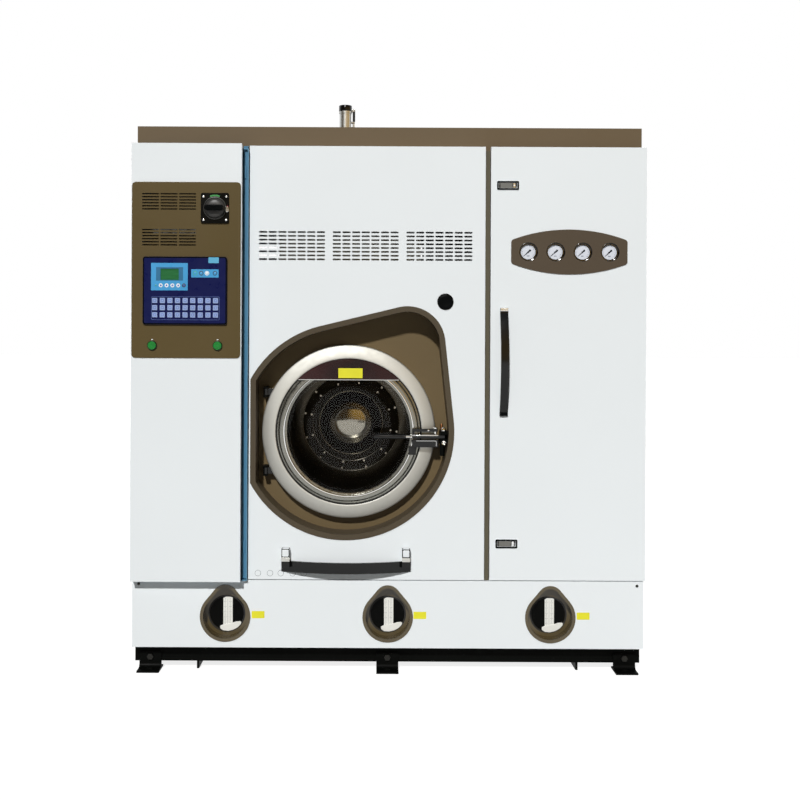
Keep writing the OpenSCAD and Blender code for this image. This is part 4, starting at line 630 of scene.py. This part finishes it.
def controls():
    body = "control_door"
    # Light blue field with its opening over the display
    made("display_field", "sky_film", body, window, rect(CX - 53, CZ + 47.7, 126.5, 94.5, 1.5),
         rect(CX - 52.5, CZ + 57.5, 92.6, 46.1, 1.0), CY - 0.5, CY)
    made("display_bezel", "bezel_film", body, window, rect(CX - 52.5, CZ + 57.5, 93, 46.5, 1.5),
         rect(CX - 52, CZ + 56, 63.0, 39.0, 1.0), CY - 1.0, CY, bevel=0.3)
    made("display_glass", "display", body, prism, rect(CX - 52, CZ + 56, 63.6, 39.6), CY + 1.6, CY + 2.9)
    # Lamps in a row under the display: a ring with a raised dome each
    for k, (dx, ring, dome) in enumerate(((-99.7, "sky_film", "dim_green"), (-82.8, "mark_white", "mark_blue"),
                                          (-62.5, "mark_white", "mark_blue"), (-42.5, "mark_white", "mark_blue"),
                                          (-22.5, "mark_white", "mark_blue"), (-2.8, "mark_ink", "mark_blue"))):
        made("lamp_ring_%d" % k, ring, body, lathe, CX + dx, CZ + 17.8,
             [(3.0, CY - 0.5), (3.0, CY - 1.0), (6.6, CY - 1.0), (6.9, CY - 0.5)], 32, smooth=True)
        made("lamp_%d" % k, dome, body, lathe, CX + dx, CZ + 17.8,
             [(0, CY - 1.5), (1.6, CY - 1.35), (3.0, CY - 0.9), (3.0, CY - 0.4)], 24, smooth=True)
    # Status strip at the upper right
    made("status_strip", "sky_film", body, prism, rect(CX + 69.2, CZ + 59.5, 94.4, 28.3, 1.5), CY - 0.5, CY)
    for k, (dx, mat) in enumerate(((35.8, "mark_teal"), (56.8, "mark_ink"), (76.5, "mark_white"),
                                   (104.0, "mark_ink"))):
        made("status_ring_%d" % k, mat, body, lathe, CX + dx, CZ + 60.0,
             [(5.3, CY - 0.5), (5.3, CY - 1.0), (7.6, CY - 1.0), (7.8, CY - 0.5)], 32, smooth=True)
        made("status_lamp_%d" % k, "mark_white" if k == 2 else "sky_film", body, lathe, CX + dx, CZ + 60.0,
             [(0, CY - 1.2), (2.6, CY - 1.05), (4.4, CY - 0.5)], 24, smooth=True)
    made("plain_tab", "tab_film", body, prism, rect(CX + 99, CZ + 105, 36, 20, 1.5), CY - 0.4, CY)
    # Keys, three rows of nine, each a raised square on the film, with a thin line round them all
    for row in range(3):
        places = [(CX - 103.1 + 26.2 * col, CZ - 34.5 - 24.7 * row) for col in range(9)]
        pieces("keys_%d" % row, prism, [(rect(x, z, 17.9, 17.9, 1.6, 3), CY - 1.4, CY) for x, z in places],
               "key_film", body, bevel=0.6)
        pieces("key_marks_%d" % row, window,
               [(rect(x, z, 9.4, 9.4, 2.2, 3), rect(x, z, 6.6, 6.6, 1.6, 3), CY - 1.55, CY - 1.3)
                for x, z in places],
               "key_mark", body)
    made("key_line", "line_film", body, window, rect(CX + 2.4, CZ - 60.9, 234.4, 80.5, 3),
         rect(CX + 2.4, CZ - 60.9, 232.4, 78.5, 2.2), CY - 0.35, CY)
    # Thin raised edge round the film
    made("controller_edge", "black_trim", body, window, rect(CX, CZ, 289, 233, 7.5),
         rect(CX, CZ, 281, 225, 4.5), CY - 0.3, CY)

    # Main switch: screws, plain coloured marks and a collar
    corners = [(SX + sx * 39, SY, SZ + sz * 40, 4.4, 2.4) for sx in (-1, 1) for sz in (-1, 1)]
    pieces("switch_screws", bolt_head, corners, "bright_zinc", body, smooth=True)
    made("switch_mark_off", "mark_green", body, prism, arc_band(SX, SZ, 41.0, 46.5, 68, 112), SY - 0.4, SY)
    made("switch_mark_on", "mark_red", body, prism, arc_band(SX, SZ, 41.0, 46.5, -14, 10), SY - 0.4, SY)
    made("switch_collar", "grey_ring", body, lathe, SX, SZ,
         [(35.6, SY), (35.6, SY - 2.2), (37.0, SY - 3.0), (39.0, SY - 2.6), (40.0, SY - 1.2), (40.0, SY)], 64,
         smooth=True)
    # Knob with a domed skirt and a waisted grip, in place of the plain one
    y = SY - 0.3
    made("knob_skirt", "knob_grey", "main_switch", lathe, SX, SZ,
         [(0, y - 13.5), (12, y - 13.5), (24, y - 12.6), (30, y - 10.4), (33.6, y - 6.4), (35, y - 1.0),
          (35, y), (0, y)], 72, smooth=True)
    bm = bmesh.new()
    outline = []
    for k in range(24):
        c, s = polar(0.0, 0.0, 1.0, 360 * k / 24)
        waist = 1.0 - 0.18 * (1.0 - abs(c) ** 1.5)
        outline.append((SX + 33.0 * math.copysign(abs(c) ** 0.45, c),
                        SZ + 11.5 * waist * math.copysign(abs(s) ** 0.7, s)))
    prism(bm, outline, y - 32, y - 9)
    grip = piece("knob_grip", bm, "black_trim", "main_switch", bevel=2.4, segments=3)
    made("knob_shaft", "zinc_steel", "main_switch", lathe, SX, SZ,
         [(0, y - 0.2), (7.6, y - 0.2), (7.6, y + 28.7), (0, y + 28.7)], 24, smooth=True)
    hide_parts("switch_knob")
    made("padlock_tab", "bright_zinc", body, prism, turned_outline(rect(SX + 42.4, SZ - 3.7, 10, 20, 4.9),
         SX + 42.4, SZ - 3.7, 6), SY - 2.6, SY, bevel=0.8)

    # Push buttons: turned bezel, small plain plate above
    for side, x in (("left", CX - BUTTON_SIDE), ("right", CX + BUTTON_SIDE)):
        made("button_bezel_" + side, "green_ring", body, lathe, x, BUTTON_Z,
             [(14.3, -631.0), (14.3, -633.2), (15.2, -633.9), (16.4, -633.4), (17.0, -631.0)], 48, smooth=True)
        made("button_mark_" + side, "mark_white", body, prism, rect(x, BUTTON_Z + 20.5, 7, 2.8, 1.2, 3), -628.6,
             -628.0)


# ---------------------------------------------------------------- gauges and right door

def gauges():
    for i in range(4):
        x, z = GAUGES_X + (i - 1.5) * GAUGES_STEP, GAUGES_Z
        made("gauge_face_%d" % i, "gauge_face", "cabinet", lathe, x, z,
             [(0, -564.5), (25.8, -564.5), (25.8, -563.6), (0, -563.6)], 48, smooth=True)
        bm = bmesh.new()
        # Graduations, every fifth one longer, with their arc and a plain bar
        for k in range(28):
            a = math.radians(225 - 270 * k / 27)
            long = k % 5 == 0
            r0, r1, w = (18.6 if long else 20.4), 22.6, (0.55 if long else 0.3)
            c, s = math.cos(a), math.sin(a)
            prism(bm, [(x + r0 * c + w * s, z + r0 * s - w * c), (x + r1 * c + w * s, z + r1 * s - w * c),
                       (x + r1 * c - w * s, z + r1 * s + w * c), (x + r0 * c - w * s, z + r0 * s + w * c)],
                  *SCALE_Y)
        prism(bm, arc_band(x, z, 22.6, 23.1, -45, 225, 48), *SCALE_Y)
        prism(bm, rect(x, z - 13.5, 9.5, 3.4, 1.0, 3), *SCALE_Y)
        piece("gauge_scale_%d" % i, bm, "gauge_grey", "cabinet")
        # Needle with its counterweight, pointing to the start of the scale
        a = math.radians(222)
        c, s = math.cos(a), math.sin(a)
        bm = bmesh.new()
        prism(bm, [(x + 20.0 * c + 0.7 * s, z + 20.0 * s - 0.7 * c), (x + 2.0 * s - 3 * c, z - 2.0 * c - 3 * s),
                   (x + 3.6 * s - 10.5 * c, z - 3.6 * c - 10.5 * s), (x - 12.6 * c, z - 12.6 * s),
                   (x - 3.6 * s - 10.5 * c, z + 3.6 * c - 10.5 * s), (x - 2.0 * s - 3 * c, z + 2.0 * c - 3 * s),
                   (x + 20.0 * c - 0.7 * s, z + 20.0 * s + 0.7 * c)],
              -565.5, -565.1)
        lathe(bm, x, z, [(0, -565.9), (2.6, -565.8), (3.2, -565.2), (3.2, -564.4), (0, -564.4)], 20)
        piece("gauge_needle_%d" % i, bm, "gauge_ink", "cabinet", smooth=False)
        # Rolled bezel ring in front of the case
        made("gauge_bezel_%d" % i, "black_gloss", "cabinet", lathe, x, z,
             [(25.6, -565.9), (26.4, -566.4), (28.2, -566.4), (29.2, -565.6), (29.2, -563.0), (25.6, -563.0),
              (25.6, -565.9)], 56, smooth=True)
        # Plastic sleeve behind the plate's hole
        made("gauge_sleeve_%d" % i, "black_gloss", "bay_door", lathe, x, z,
             [(31.4, -577.6), (32.2, -578.2), (33.0, -578.0), (33.2, -577.8), (32.9, -577.4), (32.9, -566.8),
              (29.4, -566.4), (29.4, -566.8), (31.4, -567.4), (31.4, -577.6)], 56, smooth=True)


def right_door():
    body = "bay_door"
    for name, z, paddle in (("top", 1712.0, "paddle_top"), ("low", 458.0, "paddle_bottom")):
        # Black frame and tray of the flush latch, with its key and bar
        made("latch_frame_" + name, "black_trim", body, window, rect(TRAY_X, z, 77, 31, 4),
             rect(TRAY_X, z, 66, 20, 1.5), -577.9, -577.0, bevel=0.3)
        made("latch_tray_" + name, "black_trim", body, prism, rect(TRAY_X, z, 64.6, 18.6), TRAY_BACK, -561.05)
        made("latch_key_" + name, "bright_zinc", body, prism, rect(436.4, z, 7.6, 15.5, 1.0, 3), -576.4,
             TRAY_BACK, bevel=0.6)
        made("latch_key_dot_" + name, "mark_white", body, lathe, 436.4, z,
             [(0, -576.9), (2.4, -576.9), (2.9, -576.4), (0, -576.4)], 20, smooth=True)
        made("latch_bar_" + name, "knob_grey", body, prism, rect(442.4, z, 2.4, 15.5), -575.5, TRAY_BACK)
        # Lip that the finger takes on the paddle
        made("paddle_lip_" + name, "knob_grey", paddle, prism, rect(385.6, z, 4.6, 16.4, 1.0, 3), -577.3,
             -576.2, bevel=0.3)


# ---------------------------------------------------------------- left bay's edge

def bay_edge():
    # Blue angle that edges the electrical box beside its door, with a dark seal and two latch hooks
    x, z0, z1 = -511.0, 334.0, 1844.0
    box_front = box_mm("electrical_box")[2]
    bm = bmesh.new()
    block(bm, x + 0.6, x + 19.4, -583.0, -581.0, z0, z1)
    block(bm, x + 0.6, x + 2.6, -581.0, box_front + 12.0, z0, z1)
    piece("bay_edge", bm, "edge_blue", "cabinet", bevel=0.5)
    made("bay_seal", "black_rubber", "cabinet", block, x + 15.8, x + 18.6, -584.2, -583.0, z0 + 2.0, z1 - 2.0,
         bevel=0.4)
    bm = bmesh.new()
    for z in (1752.0, 446.0):
        block(bm, x + 4.0, x + 12.0, -586.4, -583.0, z - 22, z + 22)
    piece("bay_hooks", bm, "edge_blue", "cabinet", bevel=1.0)


# ---------------------------------------------------------------- handles, plug and screws

def front_fittings():
    # Posts of the lower handle: painted cap over a bright foot
    for side, x in (("left", HANDLE_X - HANDLE_SIDE), ("right", HANDLE_X + HANDLE_SIDE)):
        made("post_cap_" + side, "white_panel", "cabinet", block, x - 14.4, x + 14.4, -601.5, -575.2, 411.0,
             441.4, bevel=5.5, segments=4)
        made("post_band_" + side, "stainless", "cabinet", block, x - 14.3, x + 14.3, -601.4, -575.2, 397.0,
             410.9, bevel=0.8)
    # Rounded end caps of the right door's handle
    made("handle_cap_top", "bright_zinc", "bay_door", block, 387.6, 416.4, -586.0, -575.2, 1271.0, 1284.4,
         bevel=3.0, segments=3)
    made("handle_cap_low", "black_trim", "bay_door", block, 387.6, 416.4, -586.0, -575.2, 905.6, 919.0,
         bevel=3.0, segments=3)
    # Raised ring and dished centre of the plug
    made("plug_cap", "black_trim", "cabinet", lathe, PLUG_X, PLUG_Z,
         [(0, -578.2), (12.0, -578.3), (17.0, -578.9), (19.0, -579.2), (20.5, -578.9), (22.0, -578.2),
          (26.0, -578.4), (28.4, -577.4), (28.8, -575.4), (28.6, -575.1)], 64, smooth=True)
    # Screws at the skirt's top corners and blank tags beside the windows
    pieces("skirt_screws", bolt_head, [(-872, PANEL_Y, 312, 5.2, 2.6), (872, PANEL_Y, 312, 5.2, 2.6)],
           "dark_zinc", "cabinet", smooth=True)
    for k, x in enumerate((-453.6, 112.5, 684.0)):
        made("blank_tag_%d" % k, "tag_yellow", "cabinet", prism, rect(x, 206, 45, 25, 2.0), -575.5, PANEL_Y,
             bevel=0.15)
    # Five plain printed rings under the recess
    for k, x in enumerate((-455.0, -412.6, -375.0, -333.3, -294.6)):
        made("plain_ring_%d" % k, "print_grey", "cabinet", window, circle(x, 351.5, 10.6),
             circle(x, 351.5, 9.5), -575.25, PANEL_Y)


def panel_screws():
    # Screws that hold the side and rear panels, in rows near their edges
    rows, inset, r, h = 6, 24, 5.0, 2.4
    for node, sign in (("left_side_panel", -1), ("right_side_panel", 1)):
        x0, x1, y0, y1, z0, z1 = box_mm(node)
        x = x0 if sign < 0 else x1
        items = [(x, y, z0 + inset + (z1 - z0 - 2 * inset) * k / (rows - 1), r, sign * h)
                 for y in (y0 + inset, y1 - inset) for k in range(rows)]
        pieces(node + "_screws", side_head, items, "bright_zinc", "cabinet", smooth=True)
    x0, x1, _, y, z0, z1 = box_mm("rear_panel")
    third = (x1 - x0 - 2 * inset) / 3
    bm = bmesh.new()
    for k in range(rows):
        z = z0 + inset + (z1 - z0 - 2 * inset) * k / (rows - 1)
        for x in (x0 + inset, x0 + inset + third, x1 - inset - third, x1 - inset):
            lathe(bm, x, z, [(0, y + h), (2.8, y + 2.35), (4.4, y + 1.6), (r, y + 0.5), (r, y), (0, y)], 20)
    piece("rear_panel_screws", bm, "bright_zinc", "cabinet", smooth=True)
    # The damper's cap, air hose and fittings
    made("damper_cap", "black_gloss", "cabinet", lathe_up, DAMPER_X, DAMPER_Y,
         [(0, 2048.4), (20.0, 2048.4), (23.4, 2047.6), (24.4, 2046.0), (24.4, 2026.5), (24.1, 2025.6),
          (23.0, 2025.6), (0, 2025.6)], 48, smooth=True)
    made("damper_hose", "black_rubber", "cabinet", lathe_up, HOSE_X, DAMPER_Y,
         [(0, 2033.0), (3.6, 2032.4), (4.8, 2030.0), (4.8, 1988.0), (0, 1988.0)], 24, smooth=True)
    bm = bmesh.new()
    for z in (2027.5, 1984.5):
        lathe_across(bm, DAMPER_Y, z, [(0, -143.0), (4.4, -143.0), (4.4, -138.0), (5.6, -137.4), (5.6, -131.0),
                                       (4.6, -129.4), (0, -129.2)], 24)
    piece("damper_fittings", bm, "chrome", "cabinet", smooth=True)


def sight_windows():
    z = WINDOWS_Z
    for k, cx in enumerate(WINDOWS_X):
        # Scale strip on the glass: white plastic with plain graduation marks
        made("scale_%d" % k, "scale_white", "cabinet", prism,
             [(cx - 12.5, z - 55), (cx + 20.5, z - 55), (cx + 20.5, z + 56.5), (cx + 14, z + 58.0),
              (cx - 4, z + 58.0), (cx - 12.5, z + 53)], -527.4, -524.6, bevel=0.4)
        bm = bmesh.new()
        for row in range(21):
            zz = z - 41 + 4.6 * row
            w = 9.0 if row % 4 == 2 else 3.6
            prism(bm, rect(cx - 6.0, zz, w, 0.8), -527.7, -527.4)
            prism(bm, rect(cx + 12.0, zz, w, 0.8), -527.7, -527.4)
        prism(bm, rect(cx + 3.0, z, 0.6, 100), -527.7, -527.4)
        piece("scale_marks_%d" % k, bm, "print_grey", "cabinet")
        # Moulded foot of the scale, which follows the lower edge of the window
        foot = ((-23, -44), (-23, -53), (-12, -60.5), (6, -62.0), (24, -57.5), (40, -48.5), (50, -38), (52, -31),
                (48, -27.5), (34, -28.5), (21, -33), (4, -38), (-14, -40))
        made("scale_foot_%d" % k, "scale_white", "cabinet", prism, [(cx + a, z + b) for a, b in foot], -531.5,
             -526.8, bevel=1.2, segments=3)
        # Rubber ring that seals the glass
        made("glass_seal_%d" % k, "black_rubber", "cabinet", lathe, cx, z,
             [(60.0, -528.8), (61.5, -529.6), (64.0, -529.4), (65.0, -528.6), (65.0, -528.3), (60.0, -528.3),
              (60.0, -528.8)], 72, smooth=True)


def latch():
    # Lever in place of the plain one: forged black bar, bright rod and ribbed grip
    y, z = LEVER_Y, LEVER_Z
    body = "latch_arm"
    outline = [(83, 821.2), (160, 821.2), (199.8, 822.4), (199.8, 833.6), (160, 834.6), (96, 834.6), (83, 832.0)]
    lever = made("lever_bar", "black_gloss", body, prism, outline, -541.0, -527.0, bevel=1.2)
    made("lever_rod", "chrome", body, lathe_across, -541.6, 833.4,
         [(0, 84), (2.6, 84.2), (3.1, 86), (3.1, 174), (2.6, 176), (0, 176.2)], 20, smooth=True)
    made("lever_neck", "chrome", body, lathe_across, y, z,
         [(0, 60), (4.9, 60), (4.9, 76), (6.6, 77.5), (6.8, 83.4), (0, 83.4)], 28, smooth=True)
    bm = bmesh.new()
    profile = [(0, 62.0), (6.4, 62.0), (8.6, 61.0), (9.4, 58.6)]
    x, rib = 56.0, 8.6
    while x > -44.0:
        profile += [(9.4, x), (8.7, x - 1.2), (8.7, x - 2.6), (9.4, x - 3.8)]
        x -= rib
    profile += [(9.4, -48.0), (8.2, -52.2), (5.2, -54.0), (0, -54.0)]
    lathe_across(bm, y, z, profile, 32)
    piece("lever_grip", bm, "black_gloss", body, smooth=True)
    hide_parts("latch_lever")
    # Upper cheek of the latch on the door, with its foot, pivot cap and screw
    made("latch_cheek", "black_gloss", "loading_door", block, 84, 174, -543.6, -531.0, 846.0, 856.4, bevel=1.4)
    made("latch_cheek_foot", "black_gloss", "loading_door", block, 84, 92, -541.5, -516.4, 838.4, 846.4,
         bevel=1.0)
    made("pivot_cap", "chrome", "loading_door", lathe_up, 166, -534,
         [(0, 861.6), (6.4, 861.4), (8.0, 859.6), (8.0, 856.4), (5.0, 856.4), (5.0, 838.5), (0, 838.5)], 28,
         smooth=True)
    made("cheek_screw", "chrome", "loading_door", lathe, 141, 851.0,
         [(0, -546.6), (3.0, -546.2), (4.2, -543.6), (0, -543.6)], 20, smooth=True)
    # Nut, stud and face bolt of the catch
    made("catch_nut", "chrome", "cabinet", lathe_up, 194.5, -536,
         [(0, 862.5), (4.6, 861.0), (7.4, 856.4), (7.8, 853.0), (7.8, 848.2), (0, 848.2)], 6, bevel=0.5)
    made("catch_stud", "copper_pipe", "cabinet", lathe_up, 190.0, -490,
         [(0, 870.5), (3.6, 870.0), (4.6, 866.5), (4.6, 848.2), (0, 848.2)], 20, smooth=True)
    made("catch_bolt", "chrome", "cabinet", lathe, 194.5, 808.0,
         [(0, -558.8), (3.4, -558.6), (3.9, -557.0), (5.0, -556.6), (7.0, -557.4), (7.8, -556.6), (7.8, -555.0),
          (0, -555.0)], 28, smooth=True)


def door_details():
    body = "loading_door"
    ax, az = DOOR_X, DOOR_Z
    # Ring in place of the plain one: crowned satin face, polished flange, and hinge arms that are black as
    # painted shade
    bm = bmesh.new()
    profile = [(261.2, -508.6), (308.0, -470.0), (308.0, -504.5), (307.5, -506.0), (306.4, -507.1)]
    for k in range(13):
        r = 305.0 - 44.0 * k / 12
        profile.append((r, -517.0 + 10.0 * ((r - 261.0) / 47.0) ** 1.6))
    profile += [(260.0, -516.4), (259.6, -515.0), (259.4, -508.6), (261.2, -508.6)]
    lathe(bm, ax, az, profile, 160)
    face = piece("ring_face", bm, "ring_satin", body, smooth=True)
    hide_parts("door_ring")
    made("ring_flange", "flange_steel", body, lathe, ax, az,
         [(262.0, -470.0), (259.3, -506.0), (256.0, -507.6), (252.0, -508.2), (248.0, -509.6), (246.2, -512.4),
          (245.2, -514.2), (243.6, -515.0), (229.6, -515.0), (227.6, -514.2), (226.4, -512.0), (226.0, -503.4),
          (220.4, -502.6), (220.0, -476.0), (224.0, -470.0), (262.0, -470.0)], 160, smooth=True)
    # The hinge arms and knuckles are black so that they sink into the shadow at the recess's left: painted shade
    for side, z in (("low", az - 140.0), ("high", az + 140.0)):
        made("hinge_arm_" + side, "black_gloss", body, block, -434.0, -396.5, -505.5, -498.0, z - 12, z + 12,
             bevel=1.0)
        made("hinge_knuckle_" + side, "black_gloss", body, lathe_up, -436.5, -512.0,
             [(5.3, z - 11.9), (7.4, z - 11.9), (8.0, z - 11.3), (8.0, z + 11.3), (7.4, z + 11.9),
              (5.3, z + 11.9), (5.3, z - 11.9)], 32, smooth=True)
    # Shade plate on the flange, over the top of the glass, with a blank tag on it; its dark red, patchy colour
    # is a painted reflection
    low, r, n = 184.4, 259.0, 40
    a0 = math.asin(low / r)
    angles = [math.degrees(a0 + (math.pi - 2 * a0) * k / n) for k in range(n + 1)]
    made("glass_shade", "painted_reflection_film", body, prism, [polar(ax, az, r, a) for a in angles], -518.4, -517.1,
         bevel=0.3)
    made("shade_edge", "chrome", body, prism, rect(ax, az + low, 2 * r * math.cos(a0) - 6, 2.2), -519.0, -517.1,
         bevel=0.4)
    made("shade_tag", "tag_yellow", body, prism, rect(ax + 6.0, az + 208.0, 86, 35, 1.5), -518.9, -518.4,
         bevel=0.15)
    # Polished bead round the inner edge of the flange, and rubber in the groove beside the face
    made("flange_bead", "chrome", body, lathe, ax, az,
         [(226.5, -515.1), (227.5, -516.6), (229.5, -517.0), (231.5, -516.5), (232.4, -515.0), (226.5, -515.0),
          (226.5, -515.1)], 128, smooth=True)
    made("groove_rubber", "black_rubber", body, lathe, ax, az,
         [(255.2, -508.1), (256.0, -511.0), (258.0, -512.4), (260.2, -512.0), (261.0, -510.0), (260.8, -508.0),
          (255.2, -508.0)], 128, smooth=True)
    # Black case of the latch, over the plain body, with its foot on the flange
    made("latch_case", "black_gloss", body, block, 83.5, 176.4, -544.3, -513.6, 791.1, 818.2, bevel=1.5,
         segments=3)
    made("latch_foot", "black_gloss", body, block, 72.0, 98.0, -524.5, -514.6, 762.0, 792.5, bevel=2.5,
         segments=3)
    made("latch_trim", "chrome", body, prism,
         [(98, 813.0), (166, 813.0), (168.2, 810.5), (168.2, 795), (169.6, 795), (169.6, 811.2), (166.8, 814.4),
          (98, 814.4)], -544.9, -544.2)


def drum_details():
    ax, az = DOOR_X, DOOR_Z
    for name, r in (("hub_bolts_inner", 158.0), ("hub_bolts_outer", 182.5)):
        bm = bmesh.new()
        for k in range(12):
            x, z = polar(ax, az, r, 18.9 + 30 * k)
            hex_head(bm, x, -79.4, z, 5.2, 4.0)
        piece(name, bm, "bolt_bright", "drum", bevel=0.4)
    # Hub: mirror-polished dome and satin plates in near-black steel, which is painted shade, over the plain ones
    rim, foot, height = 124.5, -85.4, 31.2
    radii = [rim - 5.0 * k for k in range(24)]
    dome = [(r, foot - height * (1.0 - (r / rim) ** 2.4)) for r in radii]
    made("hub_dome", "mirror_steel", "drum", lathe, ax, az, [(125.2, -84.6)] + dome + [(0, foot - height)], 128,
         smooth=True)
    for name, r0, r1, y in (("hub_plate_inner", 124.0, 150.3, -85.4), ("hub_plate_outer", 149.0, 190.3, -79.4)):
        made(name, "shaded_hub_steel", "drum", lathe, ax, az,
             [(r0, y), (r1 - 0.8, y), (r1, y + 0.8), (r1, y + 4.0), (r0, y + 4.0), (r0, y)], 128, smooth=True)
    # Rolled beads that edge the two hub plates
    for k, (r, y) in enumerate(((189.0, -79.0), (149.5, -85.0), (124.5, -85.5))):
        made("hub_bead_%d" % k, "bolt_bright", "drum", lathe, ax, az,
             [(r - 1.6, y), (r - 1.2, y - 1.6), (r, y - 2.2), (r + 1.2, y - 1.6), (r + 1.6, y),
              (r + 1.2, y + 3.0), (r - 1.2, y + 3.0), (r - 1.6, y)], 128, smooth=True)


controls()
gauges()
right_door()
bay_edge()
front_fittings()
panel_screws()
sight_windows()
latch()
door_details()
drum_details()
